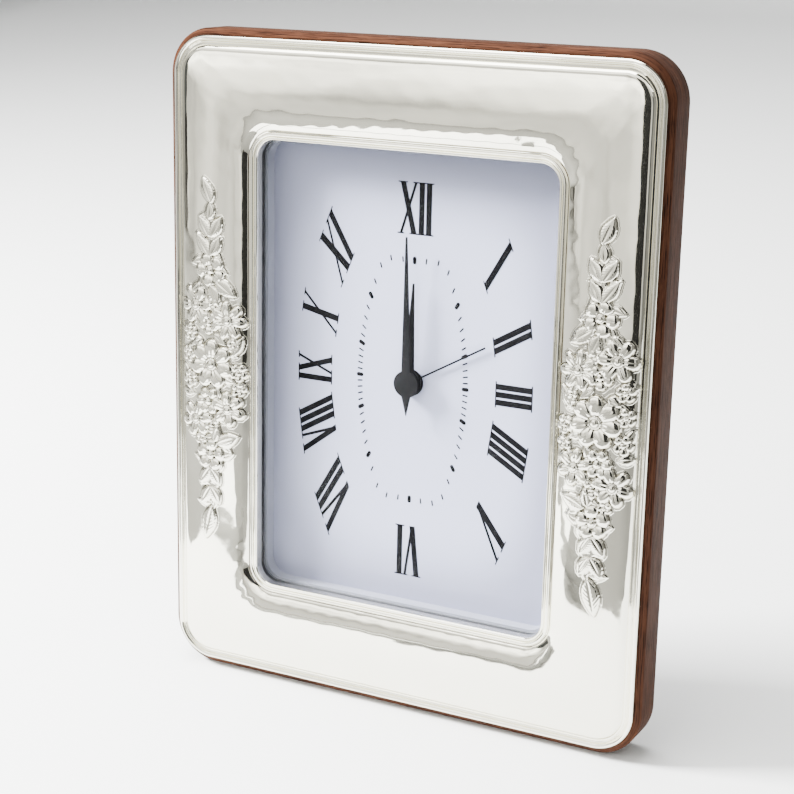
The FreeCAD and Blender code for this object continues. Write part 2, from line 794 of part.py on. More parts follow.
# Stator, coil and core beside the rotor
coil_x = rotor_x + rotor_radius + 2 * coil_radius
arm_width = rotor_radius + stator_gap
arm_left = rotor_x - arm_reach_share * arm_width
column_right = rotor_x + arm_reach_share * arm_width
core_front = stator_front - core_side
core_high = rotor_z + core_rise_share * arm_width
core_low = alarm_place[1] + arm_width / 3
coil_high = core_high - coil_top_share * arm_width
coil_low = core_low + coil_foot_share * arm_width
arm_right = coil_x + core_side
notch_high = rotor_z - notch_share * arm_width
stator = block(arm_left, column_right, stator_front, stator_back, core_low, core_high)
for low, high in ((coil_high + stator_gap, core_high), (core_low, coil_low - stator_gap)):
    stator = stator.fuse(block(column_right, arm_right, stator_front, stator_back, low, high))
stator = stator.cut(block(arm_left, rotor_x + arm_width / 6, stator_front, stator_back, core_low, notch_high))
stator = stator.cut(disc(rotor_radius + stator_gap, stator_front, stator_back, rotor_x, rotor_z))
nodes["stator"] = stator.removeSplitter()
core_left = coil_x - core_side / 2
nodes["coil_core"] = block(core_left, core_left + core_side, core_front, stator_front, core_low, core_high)
core_centre = vector(coil_x, stator_front - core_side / 2, coil_low)
coil_length = coil_high - coil_low
coil = Part.makeCylinder(coil_radius, coil_length, core_centre, vector(0, 0, 1))
nodes["coil_winding"] = coil.cut(nodes["coil_core"])

# Bearing plate and circuit board
plate_low = bay_top + case_wall + bearing_margin
plate_half = case_inner_half - bearing_margin
bearing = block(-plate_half, plate_half, bearing_front, bearing_back, plate_low, plate_half)
bearing_bores = [(centre, arbor_radius), (set_place, set_arbor_radius), (alarm_place, set_arbor_radius)]
bearing_bores += [(place, pivot_radius) for place in (third_place, second_place, step_place, rotor_place)]
for place, radius in bearing_bores:
    bearing = bearing.cut(disc(radius + running_gap, bearing_front, bearing_back, *place))
nodes["bearing_plate"] = bearing
board_left = set_place[0] + 2 * set_arbor_radius
board_right = alarm_place[0] - 2 * set_arbor_radius
board_high = -2 * arbor_radius - bearing_margin
board_front = bearing_front - board_thickness
chip_radius = arm_width
board = block(board_left, board_right, board_front, bearing_front, plate_low, board_high)
chip_place = (board_right - 2 * chip_radius, (plate_low + board_high) / 2)
chip = disc(chip_radius, board_front - board_thickness, board_front, *chip_place)
nodes["circuit_board"] = board.fuse(chip).removeSplitter()

# Movement case with its bush and battery bay
case = rounded_plate(case_size, case_size, case_corner, case_front_depth, case_rim)
hollow_size = 2 * case_inner_half
hollow = rounded_plate(hollow_size, hollow_size, case_corner - case_wall, case_inner, case_rim)
partition = block(-case_inner_half, case_inner_half, case_inner, case_rim, bay_top, bay_top + case_wall)
case = case.cut(hollow.cut(partition))
case = case.fuse(disc(bush_radius, dial_front + fit_gap / 2, case_inner)).removeSplitter()
case = case.cut(disc(bush_bore, dial_front, case_inner))
for place in (third_place, second_place, step_place, rotor_place, minute_place, set_place, alarm_place):
    case = case.cut(disc(pivot_radius + running_gap, pivot_front, case_inner, *place))
for low, high in ((plate_half - case_wall, case_inner_half), (bay_top + case_wall, plate_low + case_wall)):
    ledge = block(-case_inner_half, -plate_half + case_wall, case_inner, bearing_front, low, high)
    case = case.fuse(ledge).fuse(ledge.mirror(vector(0, 0, 0), vector(1, 0, 0)))
for z in (core_low + post_radius, core_high - post_radius):
    case = case.fuse(disc(post_radius, case_inner, core_front, coil_x, z))
nodes["movement_case"] = case.removeSplitter()

# Back cover of the gear room, with holes for the setting arbors and a slot for the switch
cover_low = bay_top
cover_height = case_half - cover_low
cover_middle = (case_half + cover_low) / 2
cover = rounded_plate(case_size, cover_height, case_corner / 2, case_rim, cover_back, z=cover_middle)
for place in (set_place, alarm_place):
    cover = cover.cut(disc(set_arbor_radius + running_gap, case_rim, cover_back, *place))
switch_x = case_inner_half - switch_side_inset
switch_z = case_inner_half - switch_top_inset
slot_left = switch_x - switch_width / 2 - slot_gap
slot_right = switch_x + switch_travel + switch_width / 2 + slot_gap
slot_low = switch_z - switch_height / 2 - slot_gap
slot_high = switch_z + switch_height / 2 + slot_gap
cover = cover.cut(block(slot_left, slot_right, case_rim, cover_back, slot_low, slot_high))
nodes["movement_cover"] = cover

# Alarm switch slider, contact spring and buzzer
slider_front = case_rim - slot_gap / 2 - switch_plate_thickness
slider_left = switch_x - switch_width / 2
slider_right = switch_x + switch_width / 2
slider_half = switch_height / 2
slider_low = switch_z - slider_half
slider_high = switch_z + slider_half
slider_back = cover_back + switch_stand
slider = block(slider_left, slider_right, slider_front, slider_back, slider_low, slider_high)
slider_plate = block(
    slider_left - switch_plate_margin, slider_right + switch_plate_margin,
    slider_front, slider_front + switch_plate_thickness,
    slider_low - switch_plate_margin, slider_high + switch_plate_margin)
nodes["alarm_switch"] = slider.fuse(slider_plate).removeSplitter()
spring_half = contact_width / 6
spring_low = slider_low - 2 * contact_width
spring_left = switch_x + switch_travel - spring_half
spring_right = switch_x + switch_travel + spring_half
strip = block(spring_left, spring_right, bearing_back, bearing_back + contact_thickness, spring_low, switch_z)
upstand = block(
    spring_left, spring_right, bearing_back, slider_front - slot_gap, switch_z - contact_thickness, switch_z)
nodes["alarm_contact_spring"] = strip.fuse(upstand).removeSplitter()
buzzer_x = set_place[0] + battery_nub_radius
buzzer_z = case_inner_half - buzzer_radius - case_wall
nodes["buzzer_disc"] = disc(buzzer_radius, case_rim - buzzer_thickness, case_rim, buzzer_x, buzzer_z)

# Battery and its two contacts
half_cell = battery_length / 2
cell_start = vector(-half_cell, battery_depth, battery_height)
cell = Part.makeCylinder(battery_radius, battery_length - battery_nub_length, cell_start, vector(1, 0, 0))
nub_start = vector(half_cell - battery_nub_length, battery_depth, battery_height)
nub = Part.makeCylinder(battery_nub_radius, battery_nub_length, nub_start, vector(1, 0, 0))
nodes["battery"] = cell.fuse(nub)
contact_low = battery_height - contact_width / 2
contact_high = battery_height + contact_width / 2
contact_front = battery_depth - contact_width / 2
contact_back = battery_depth + contact_width / 2
room = case_inner_half - half_cell
leaf_inner = case_inner_half - contact_thickness
positive = block(leaf_inner, case_inner_half, contact_front, contact_back, contact_low, contact_high)
bump_start = vector(half_cell, battery_depth, battery_height)
bump = Part.makeCylinder(contact_width / 4, room - contact_thickness, bump_start, vector(1, 0, 0))
nodes["battery_contact_positive"] = positive.fuse(bump).removeSplitter()
negative = block(-case_inner_half, -leaf_inner, contact_front, contact_back, contact_low, contact_high)
cone = Part.makeCone(
    contact_width / 3, contact_width / 6, room - contact_thickness,
    vector(-leaf_inner, battery_depth, battery_height), vector(1, 0, 0))
nodes["battery_contact_negative"] = negative.fuse(cone).removeSplitter()

# Pad that holds the movement on the dial plate
pad_size = case_size - 2 * pad_margin
pad = rounded_plate(pad_size, pad_size, case_corner, plate_back, case_front_depth)
nodes["mounting_pad"] = pad.cut(disc(bush_radius + cutout_gap, plate_back, case_front_depth))

# Back panel with its cut-out
cutout = case_size + 2 * cutout_gap
panel = rounded_plate(insert_width, insert_height, rebate_corner, plate_back, panel_back)
panel = panel.cut(rounded_plate(cutout, cutout, case_corner + cutout_gap, plate_back, panel_back))
pin_depth = panel_back + knuckle_radius + knuckle_gap
pin_z = -cutout / 2 - hinge_drop
leaf_screw_z = pin_z - 2 * hinge_leaf_height / 3
panel_screws = []
for side in (-1, 1):
    x = side * leaf_screw_spread
    head_front = panel_back + leaf_thickness
    shank = disc(leaf_screw_radius, panel_back - panel_screw_depth, head_front, x, leaf_screw_z)
    head = disc(leaf_screw_head_radius, head_front, head_front + leaf_screw_head_height, x, leaf_screw_z)
    panel = panel.cut(shank)
    panel_screws.append(shank.fuse(head))
nodes["back_panel"] = panel
nodes["hinge_screws"] = Part.Compound(panel_screws)


def x_disc(radius, x_low, x_high, depth, z):
    """A round bar along the width."""
    return Part.makeCylinder(radius, x_high - x_low, vector(x_low, depth, z), vector(1, 0, 0))


# Hinge: two leaves on one pin
half_hinge = hinge_width / 2
outer_knuckle = hinge_width / 3
inner_half = half_hinge - outer_knuckle
bore = x_disc(pin_radius + running_gap, -half_hinge, half_hinge, pin_depth, pin_z)
leaf_low = pin_z - hinge_leaf_height
fixed = block(-half_hinge, half_hinge, panel_back, panel_back + leaf_thickness, leaf_low, pin_z)
clear_middle = block(
    -inner_half - knuckle_side_gap, inner_half + knuckle_side_gap, panel_back, pin_depth + knuckle_radius,
    pin_z - knuckle_radius - knuckle_gap, pin_z)
fixed = fixed.cut(clear_middle)
fixed = fixed.fuse(x_disc(knuckle_radius, -half_hinge, -inner_half - knuckle_side_gap, pin_depth, pin_z))
fixed = fixed.fuse(x_disc(knuckle_radius, inner_half + knuckle_side_gap, half_hinge, pin_depth, pin_z))
fixed = fixed.cut(bore)
for screw in panel_screws:
    fixed = fixed.cut(screw)
nodes["hinge_leaf_panel"] = fixed.removeSplitter()
nodes["hinge_pin"] = x_disc(pin_radius, -half_hinge, half_hinge, pin_depth, pin_z)

# Leg, drawn folded flat and then swung out
leg_front = pin_depth + knuckle_radius + knuckle_gap
leaf_front = leg_front - leaf_thickness
leg_top = pin_z + leg_top_overlap
leg_bottom = -half_h - leg_top_overlap
half_top = leg_width / 2
half_foot = leg_foot_width / 2
leg_outline = [(-half_top, leg_top), (half_top, leg_top), (half_foot, leg_bottom), (-half_foot, leg_bottom)]
leg = prism(leg_outline, leg_front, leg_front + leg_thickness)
top_corners = [edge for edge in leg.Edges if edge.Length < 2 * leg_thickness and edge.CenterOfMass.z > pin_z]
leg = leg.makeFillet(leg_corner, top_corners)
leg_leaf = block(-half_hinge, half_hinge, leaf_front, leg_front, leaf_low, pin_z)
for side in (-1, 1):
    low = side * half_hinge
    high = side * inner_half
    leg_leaf = leg_leaf.cut(block(
        min(low, high), max(low, high), leaf_front, leg_front, pin_z - knuckle_radius - knuckle_gap, pin_z))
leg_leaf = leg_leaf.fuse(x_disc(knuckle_radius, -inner_half, inner_half, pin_depth, pin_z)).cut(bore)
leg_screws = []
for side in (-1, 1):
    x = side * leaf_screw_spread
    shank = disc(leaf_screw_radius, leaf_front, leg_front + leg_screw_depth, x, leaf_screw_z)
    head = disc(leaf_screw_head_radius, leaf_front - leaf_screw_head_height, leaf_front, x, leaf_screw_z)
    leg = leg.cut(shank)
    leg_leaf = leg_leaf.cut(shank)
    leg_screws.append(shank.fuse(head))
leg_screws = Part.Compound(leg_screws)
for swung in (leg, leg_leaf, leg_screws):
    swung.rotate(vector(0, pin_depth, pin_z), vector(1, 0, 0), leg_open_angle)
panel_slab = block(-leg_width, leg_width, 0, panel_back, -sheet_height, sheet_height)
nodes["easel_leg"] = leg.cut(panel_slab)
nodes["hinge_leaf_leg"] = leg_leaf.removeSplitter()
nodes["leg_screws"] = leg_screws

# Turn clips and their screws
clip_screws = []
for name, (sx, sz) in clip_places.items():
    x = sx * clip_x
    z = sz * clip_rise
    half_clip = clip_width / 2
    clip_front = panel_back + clip_lift
    clip_back = clip_front + clip_thickness
    tip = x - sx * (clip_reach - half_clip)
    heel = x + sx * (clip_tail - half_clip)
    clip = block(min(tip, heel), max(tip, heel), clip_front, clip_back, z - half_clip, z + half_clip)
    for end in (tip, heel):
        clip = clip.fuse(disc(half_clip, clip_front, clip_back, end, z))
    clip = clip.removeSplitter()
    nodes[name] = clip.cut(disc(clip_screw_radius + running_gap, clip_front, clip_back, x, z))
    shank = disc(clip_screw_radius, panel_back - clip_screw_depth, clip_back, x, z)
    head = disc(clip_screw_head_radius, clip_back, clip_back + clip_screw_head_height, x, z)
    clip_screws.append(shank.fuse(head))
nodes["clip_screws"] = Part.Compound(clip_screws)

# Stand the clock on the floor: lean it back about the rounded rear bottom edge
lean = math.radians(lean_angle)
edge_depth = wood_depth - wood_back_radius
edge_z = -half_h - wood_overhang + wood_back_radius
floor_shift = wood_back_radius + edge_depth * math.sin(lean) - edge_z * math.cos(lean)
for name, shape in nodes.items():
    shape.rotate(vector(0, 0, 0), vector(1, 0, 0), -lean_angle)
    shape.translate(vector(0, 0, floor_shift))
floor_slab = block(-sheet_width, sheet_width, -sheet_width, sheet_width, -2 * wood_depth, 0)
nodes["easel_leg"] = nodes["easel_leg"].cut(floor_slab)

# Put the origin on the floor under the middle of the clock's whole depth
front_depth = min(shape.optimalBoundingBox(False).YMin for shape in nodes.values())
rear_depth = max(shape.optimalBoundingBox(False).YMax for shape in nodes.values())
depth_shift = -(front_depth + rear_depth) / 2
for name, shape in nodes.items():
    shape.translate(vector(0, depth_shift, 0))
    if not shape.isValid():
        print("not valid:", name)
    shape.exportStep("parts/" + name + ".step")


def standing(x, depth, z):
    """Where a place in the upright drawing ends up, in metres."""
    y = depth * math.cos(lean) + z * math.sin(lean) + depth_shift
    up = -depth * math.sin(lean) + z * math.cos(lean) + floor_shift
    return tuple(round(value / millimetres_per_metre, 6) for value in (x, y, up))


print("dial centre", standing(0, dial_front, 0), "depth shift", depth_shift, "floor shift", floor_shift)
for name, (x, z) in (("time knob", set_place), ("alarm knob", alarm_place)):
    print(name, standing(x, cover_back, z))
train_places = [minute_place, third_place, second_place, step_place, rotor_place]
for name, (x, z) in zip(("minute wheel", "third", "second", "step", "rotor"), train_places):
    print(name, standing(x, case_inner, z))
print("leg pin", standing(0, pin_depth, pin_z))
for name, (sx, sz) in clip_places.items():
    print(name, standing(sx * clip_x, panel_back, sz * clip_rise))
print("nodes", len(nodes))
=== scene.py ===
import json
import math

import bmesh
import bpy
import numpy as np
from mathutils import Matrix, Vector


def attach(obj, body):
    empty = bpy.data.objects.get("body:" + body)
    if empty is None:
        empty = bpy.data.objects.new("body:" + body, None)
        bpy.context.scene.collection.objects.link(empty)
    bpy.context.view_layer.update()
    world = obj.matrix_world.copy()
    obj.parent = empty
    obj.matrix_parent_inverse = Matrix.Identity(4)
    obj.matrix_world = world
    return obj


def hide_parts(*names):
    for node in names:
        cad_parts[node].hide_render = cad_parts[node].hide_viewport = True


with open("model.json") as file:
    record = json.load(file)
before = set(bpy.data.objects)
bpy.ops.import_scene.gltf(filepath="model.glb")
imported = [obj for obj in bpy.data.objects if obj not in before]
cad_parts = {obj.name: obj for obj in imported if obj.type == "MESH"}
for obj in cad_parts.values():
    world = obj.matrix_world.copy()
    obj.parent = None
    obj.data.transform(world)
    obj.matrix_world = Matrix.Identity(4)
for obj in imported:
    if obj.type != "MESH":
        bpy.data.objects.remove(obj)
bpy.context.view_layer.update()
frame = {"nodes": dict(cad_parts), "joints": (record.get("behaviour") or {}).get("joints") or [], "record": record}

# The clock stands on its rear bottom edge and its easel leg, leaning back a little. Its pieces
# are drawn upright in millimetres about the middle of the dial, X to the right, Y into the clock
# and Z up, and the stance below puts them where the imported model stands.
lean = math.radians(5.0)
dial_depth = 8.1
dial_centre = next(joint for joint in frame["joints"] if joint["name"] == "minute_turn")["pos_m"]
stance = (
    Matrix.Translation(dial_centre)
    @ Matrix.Rotation(-lean, 4, "X")
    @ Matrix.Scale(0.001, 4)
    @ Matrix.Translation((0, -dial_depth, 0))
)


def stood_piece(name, points, faces, material, crease=35.0):
    """A mesh from points in the upright drawing, stood where the clock stands."""
    mesh = bpy.data.meshes.new(name)
    mesh.from_pydata([stance @ Vector(point) for point in points], [], faces)
    mesh.validate()
    mesh.shade_smooth()
    mesh.set_sharp_from_angle(angle=math.radians(crease))
    mesh.materials.append(material)
    piece = bpy.data.objects.new(name, mesh)
    bpy.context.scene.collection.objects.link(piece)
    return piece


def hand_over(piece, body, slot, *nodes):
    """The piece rides a body and stands for these nodes; the slot is not used."""
    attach(piece, body)
    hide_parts(*nodes)


def add_node(tree, kind, settings=None, **inputs):
    """A shader node with its settings, and each named input set or linked."""
    node = tree.nodes.new(kind)
    for name, value in (settings or {}).items():
        setattr(node, name, value)
    for name, value in inputs.items():
        numbered = name[0] == "i" and name[1:].isdigit()
        socket = node.inputs[int(name[1:])] if numbered else node.inputs[name.replace("_", " ")]
        if isinstance(value, bpy.types.NodeSocket):
            tree.links.new(value, socket)
        else:
            socket.default_value = value
    return node


def place_on(tree):
    """The place on the piece that a pattern is drawn from."""
    return add_node(tree, "ShaderNodeTexCoord").outputs["Object"]


def reckon(tree, operation, first, second):
    """The result of one Math node from two values."""
    return add_node(tree, "ShaderNodeMath", {"operation": operation}, i0=first, i1=second).outputs[0]


def mix_colours(tree, factor, first, second):
    """A colour between two, each a value or the output of a node."""
    return add_node(tree, "ShaderNodeMix", {"data_type": "RGBA"}, i0=factor, i6=first, i7=second).outputs[2]


# Handled things are never quite even: one group gives every finish its broad mottle, its fine
# grain and the small bumps of its surface, from the place on the piece.
mottle = bpy.data.node_groups.new("mottle", "ShaderNodeTree")
for socket_name, start in (("Broad Scale", 60.0), ("Fine Scale", 900.0), ("Bump", 0.1)):
    socket = mottle.interface.new_socket(socket_name, in_out="INPUT", socket_type="NodeSocketFloat")
    socket.default_value = start
mottle.interface.new_socket("Broad", in_out="OUTPUT", socket_type="NodeSocketFloat")
mottle.interface.new_socket("Fine", in_out="OUTPUT", socket_type="NodeSocketFloat")
mottle.interface.new_socket("Normal", in_out="OUTPUT", socket_type="NodeSocketVector")
given = mottle.nodes.new("NodeGroupInput")
result = mottle.nodes.new("NodeGroupOutput")
broad, fine = (
    add_node(mottle, "ShaderNodeTexNoise", Vector=place_on(mottle), Scale=given.outputs[size], Detail=detail)
    for size, detail in (("Broad Scale", 3.0), ("Fine Scale", 2.0)))
relief = add_node(
    mottle, "ShaderNodeBump", Height=fine.outputs["Fac"], Strength=given.outputs["Bump"], Distance=0.0002)
mottle.links.new(broad.outputs["Fac"], result.inputs["Broad"])
mottle.links.new(fine.outputs["Fac"], result.inputs["Fine"])
mottle.links.new(relief.outputs["Normal"], result.inputs["Normal"])


def finish(name, dark, light, rough, metallic=0.0, broad_scale=60.0, fine_scale=900.0, bump=0.1):
    """A material whose colour and gloss drift between two values over the piece."""
    material = bpy.data.materials.new(name)
    material.use_nodes = True
    tree = material.node_tree
    shader = tree.nodes["Principled BSDF"]
    group = add_node(
        tree, "ShaderNodeGroup", {"node_tree": mottle},
        Broad_Scale=broad_scale, Fine_Scale=fine_scale, Bump=bump)
    gloss = add_node(
        tree, "ShaderNodeMapRange", Value=group.outputs["Fine"],
        From_Min=0.3, From_Max=0.7, To_Min=rough[0], To_Max=rough[1])
    tint = mix_colours(tree, group.outputs["Broad"], (*dark, 1), (*light, 1))
    tree.links.new(tint, shader.inputs["Base Color"])
    tree.links.new(gloss.outputs["Result"], shader.inputs["Roughness"])
    tree.links.new(group.outputs["Normal"], shader.inputs["Normal"])
    shader.inputs["Metallic"].default_value = metallic
    return material


def recoloured(material, factor, colour):
    """Turns the material's own colour towards another by a mask."""
    tree = material.node_tree
    socket = tree.nodes["Principled BSDF"].inputs["Base Color"]
    tree.links.new(mix_colours(tree, factor, socket.links[0].from_socket, colour), socket)


# The camera stands a little above the clock and to its right, where the photograph was taken. It
# looks slightly down through a long lens, turned a little about its own axis.
camera_place = (0.2178, -0.4192, 0.2501)
yaw, pitch, roll = (math.radians(angle) for angle in (28.255, -19.189, -1.234))
camera_data = bpy.data.cameras.new("photo_camera")
camera_data.sensor_width = 36.0
camera_data.lens = 82.77
camera_data.clip_start = 0.01
camera = bpy.data.objects.new("photo_camera", camera_data)
ahead = Vector((-math.sin(yaw) * math.cos(pitch), math.cos(yaw) * math.cos(pitch), math.sin(pitch)))
aim = ahead.to_track_quat("-Z", "Y").to_matrix().to_4x4()
camera.matrix_world = Matrix.Translation(camera_place) @ aim @ Matrix.Rotation(roll, 4, "Z")
bpy.context.scene.collection.objects.link(camera)
bpy.context.scene.camera = camera

# The studio: a pale paper floor that runs far back, a grey bench in front of it, lit sheets of tent
# cloth in front, above, at the left and at the right, the dark shape of the camera stand between
# them, and a large soft box overhead. The polished silver mirrors all of them.
world = bpy.data.worlds.new("studio")
world.use_nodes = True
world.node_tree.nodes["Background"].inputs["Color"].default_value = (0.94, 0.97, 1.0, 1)
world.node_tree.nodes["Background"].inputs["Strength"].default_value = 0.12
bpy.context.scene.world = world
studio_reach = 2.2
floor_back = 1.4
bend_radius = 0.5
bench_rise = 0.0004
paper = finish("studio_paper", (0.90, 0.91, 0.905), (0.93, 0.94, 0.935), (0.75, 0.85), 0.0, 4.0, bump=0.02)
bench_top = finish("bench_top", (0.09, 0.09, 0.087), (0.14, 0.14, 0.136), (0.6, 0.7), 0.0, 5.0, bump=0.05)
edge_card = finish("edge_card", (0.32, 0.32, 0.31), (0.36, 0.36, 0.35), (0.7, 0.8), 0.0, 9.0, bump=0.05)
dark_cloth = finish(
    "dark_cloth", (0.003, 0.003, 0.003), (0.006, 0.006, 0.006), (0.8, 0.9), 0.0, 9.0, bump=0.1)


def tent_cloth(name, low, high, rise, start=0.0):
    """Lit white cloth that glows more towards the top, with a dark hem and soft folds."""
    material = bpy.data.materials.new(name)
    material.use_nodes = True
    tree = material.node_tree
    up = add_node(tree, "ShaderNodeSeparateXYZ", Vector=place_on(tree)).outputs["Z"]
    folds = add_node(tree, "ShaderNodeTexNoise", Vector=place_on(tree), Scale=4.0, Detail=3.0).outputs["Fac"]
    glow, hem, fold_light = (
        add_node(
            tree, "ShaderNodeMapRange", Value=value, From_Min=a, From_Max=b, To_Min=c, To_Max=d,
        ).outputs["Result"]
        for value, a, b, c, d in (
            (up, start, rise, low, high), (up, 0.006, 0.009, 0.35, 1.0), (folds, 0.35, 0.65, 0.6, 1.3)))
    lit = reckon(tree, "MULTIPLY", reckon(tree, "MULTIPLY", glow, hem), fold_light)
    shine = add_node(tree, "ShaderNodeEmission", Color=(1.0, 0.99, 0.94, 1), Strength=lit)
    tree.links.new(shine.outputs["Emission"], tree.nodes["Material Output"].inputs["Surface"])
    return material


def studio_mesh(name, points, faces, material):
    """A part of the studio, which is no part of the clock."""
    mesh = bpy.data.meshes.new(name)
    mesh.from_pydata(points, [], faces)
    mesh.shade_smooth()
    mesh.materials.append(material)
    thing = bpy.data.objects.new(name, mesh)
    bpy.context.scene.collection.objects.link(thing)


def strip_faces(line):
    """Quads between the two long edges of a strip."""
    return [(2 * i, 2 * i + 1, 2 * i + 3, 2 * i + 2) for i in range(len(line) - 1)]


def long_sheet(name, line, material):
    """A wide sheet that follows a side profile (y, z)."""
    points = [(x, y, z) for y, z in line for x in (-studio_reach, studio_reach)]
    studio_mesh(name, points, strip_faces(line), material)


def upright_sheet(name, line, material, height):
    """A sheet that stands on the floor along a plan line (x, y)."""
    points = [(x, y, z) for x, y in line for z in (0.0, height)]
    studio_mesh(name, points, strip_faces(line), material)


bend = [
    (floor_back + bend_radius * math.sin(turn), bend_radius - bend_radius * math.cos(turn))
    for turn in np.linspace(0, math.pi / 2, 24)]
long_sheet("sweep", [(-floor_back, 0.0), (floor_back, 0.0)] + bend + [(1.9, 2.0)], paper)
bench_line = [
    (-studio_reach, -floor_back), (studio_reach, -floor_back), (studio_reach, -0.235), (0.05, -0.160),
    (-0.055, -0.137), (-0.125, -0.37), (-0.185, -0.32), (-0.165, -0.094), (-0.95, 0.65),
    (-studio_reach, 0.65),
]
studio_mesh("bench", [(x, y, bench_rise) for x, y in bench_line], [tuple(range(len(bench_line)))], bench_top)
top_cloth = tent_cloth("top_cloth", 1.4, 4.2, 1.06, 0.80)
long_sheet("tent_top", [(-0.76, 0.60), (-0.60, 0.92), (-0.31, 1.06)], top_cloth)
for name, line, material, height in (
    ("tent_front", [(-1.05, -0.70), (0.10, -0.75)], tent_cloth("front_cloth", 1.5, 5.2, 0.34, 0.15), 0.62),
    ("tent_corner", [(0.10, -0.75), (0.62, -0.52)], tent_cloth("corner_cloth", 0.8, 1.2, 0.60), 0.62),
    ("tent_left", [(-1.0, 0.75), (-1.0, -0.42)], tent_cloth("left_cloth", 0.35, 0.9, 0.6), 0.8),
    ("tent_right", [(0.55, -0.30), (0.95, 0.5)], tent_cloth("right_cloth", 0.25, 0.5, 0.6), 0.5),
    ("low_card", [(-0.16, -0.15), (0.0, -0.165)], edge_card, 0.012),
    ("camera_stand", [(0.07, -0.50), (0.38, -0.48)], dark_cloth, 0.80),
):
    upright_sheet(name, line, material, height)


def soft_box(name, place, target, size, power, mirrored):
    """A rectangular soft light aimed at a point."""
    data = bpy.data.lights.new(name, "AREA")
    data.shape = "RECTANGLE"
    data.size, data.size_y = size
    data.energy = power
    lamp = bpy.data.objects.new(name, data)
    lamp.location = place
    lamp.visible_glossy = mirrored
    lamp.rotation_euler = (Vector(target) - Vector(place)).to_track_quat("-Z", "Y").to_euler()
    bpy.context.scene.collection.objects.link(lamp)


soft_box("overhead", (-0.20, 0.05, 1.05), (0, 0, 0), (0.9, 0.7), 26.0, True)
soft_box("upper_left", (-0.72, -0.24, 0.62), (0, 0, 0.09), (0.24, 0.24), 62.0, False)

# Pressed silver front: one thin sheet drawn over the wooden frame, with a bead and fine grooves
# at its outer edge, a cove, a broad cushion, and a second bead and a rolled lip at the opening.
half_width = 71.0
half_height = 90.0
rail_width = 27.0
swell = 2.6
outer_bead_inset = 4.5
inner_bead_inset = 22.5
outer_corner = 11.0
opening_corner = 5.2
blend_start = 0.22 * rail_width
blend_stop = 0.815 * rail_width
corner_steps = 24
side_steps = (64, 84)
front_shares = [
    (0.000, -0.12), (0.006, 0.14), (0.028, 0.30), (0.050, 0.14), (0.058, 0.00), (0.072, 0.10),
    (0.088, 0.00), (0.104, 0.24), (0.125, 0.45), (0.148, 0.58), (0.174, 0.66), (0.220, 0.75),
    (0.333, 0.89), (0.537, 1.00), (0.704, 0.92), (0.815, 0.70), (0.889, 0.34), (0.911, 0.16),
    (0.924, 0.34), (0.937, 0.39), (0.950, 0.34), (0.960, 0.15), (0.972, 0.29), (0.985, 0.30),
    (0.996, 0.18), (1.000, 0.04),
]


def smooth_curve(knots, steps):
    """Points on a smooth curve through the knots that never overshoots them."""
    x = np.array([knot[0] for knot in knots])
    y = np.array([knot[1] for knot in knots])
    width = np.diff(x)
    rise = np.diff(y) / width
    slope = np.zeros(len(x))
    slope[0], slope[-1] = rise[0], rise[-1]
    for i in range(1, len(x) - 1):
        if rise[i - 1] * rise[i] > 0:
            near = 2 * width[i] + width[i - 1]
            far = width[i] + 2 * width[i - 1]
            slope[i] = (near + far) / (near / rise[i - 1] + far / rise[i])
    points = []
    for i in range(len(width)):
        for t in np.linspace(0, 1, steps, endpoint=False):
            h = y[i] * (1 + 2 * t) * (1 - t) ** 2 + width[i] * slope[i] * t * (1 - t) ** 2
            h += y[i + 1] * t * t * (3 - 2 * t) + width[i] * slope[i + 1] * t * t * (t - 1)
            points.append((x[i] + t * width[i], h))
    return points + [(x[-1], y[-1])]


front_curve = smooth_curve(front_shares, 5)
curve_insets, curve_rises = np.transpose(front_curve)


def sheet_depth(inset):
    """Depth of the silver's face at a distance in from its outer edge."""
    return -swell * np.interp(inset / rail_width, curve_insets, curve_rises)


def hand_waves(x, z):
    """The slow unevenness that the soft sheet takes from being pressed and rubbed down by hand."""
    edge = np.minimum(half_width - np.abs(x), half_height - np.abs(z))
    near_beads = np.exp(-(((edge - inner_bead_inset) / 1.8) ** 2))
    near_beads += 0.6 * np.exp(-(((edge - outer_bead_inset) / 1.6) ** 2))
    ripple = np.sin(0.9 * x + 0.55 * z + 0.7) + np.sin(1.35 * z - 1.1 * x + 2.1)
    broad_wave = np.sin(0.52 * x + 0.21 * z + 0.4) + np.sin(0.63 * z - 0.17 * x + 1.9)
    broad_wave += 0.7 * np.sin(0.93 * z + 0.71 * x)
    broad_wave += 0.5 * np.sin(0.33 * x - 0.29 * z + 2.6)
    fine_wave = 0.0025 * np.sin(1.7 * x - 1.1 * z + 0.8)
    finest_wave = 0.002 * np.sin(1.9 * z + 0.9 * x + 2.0)
    return 0.018 * near_beads * ripple + 0.011 * broad_wave + fine_wave + finest_wave


def corner_radius(inset):
    """The outer grooves follow the outer corner and the inner bead the opening's, with a blend between."""
    along = min(max((inset - blend_start) / (blend_stop - blend_start), 0), 1)
    outer = outer_corner - min(inset, blend_start)
    inner = rail_width + opening_corner - max(inset, blend_stop)
    return outer * (1 - along) + inner * along


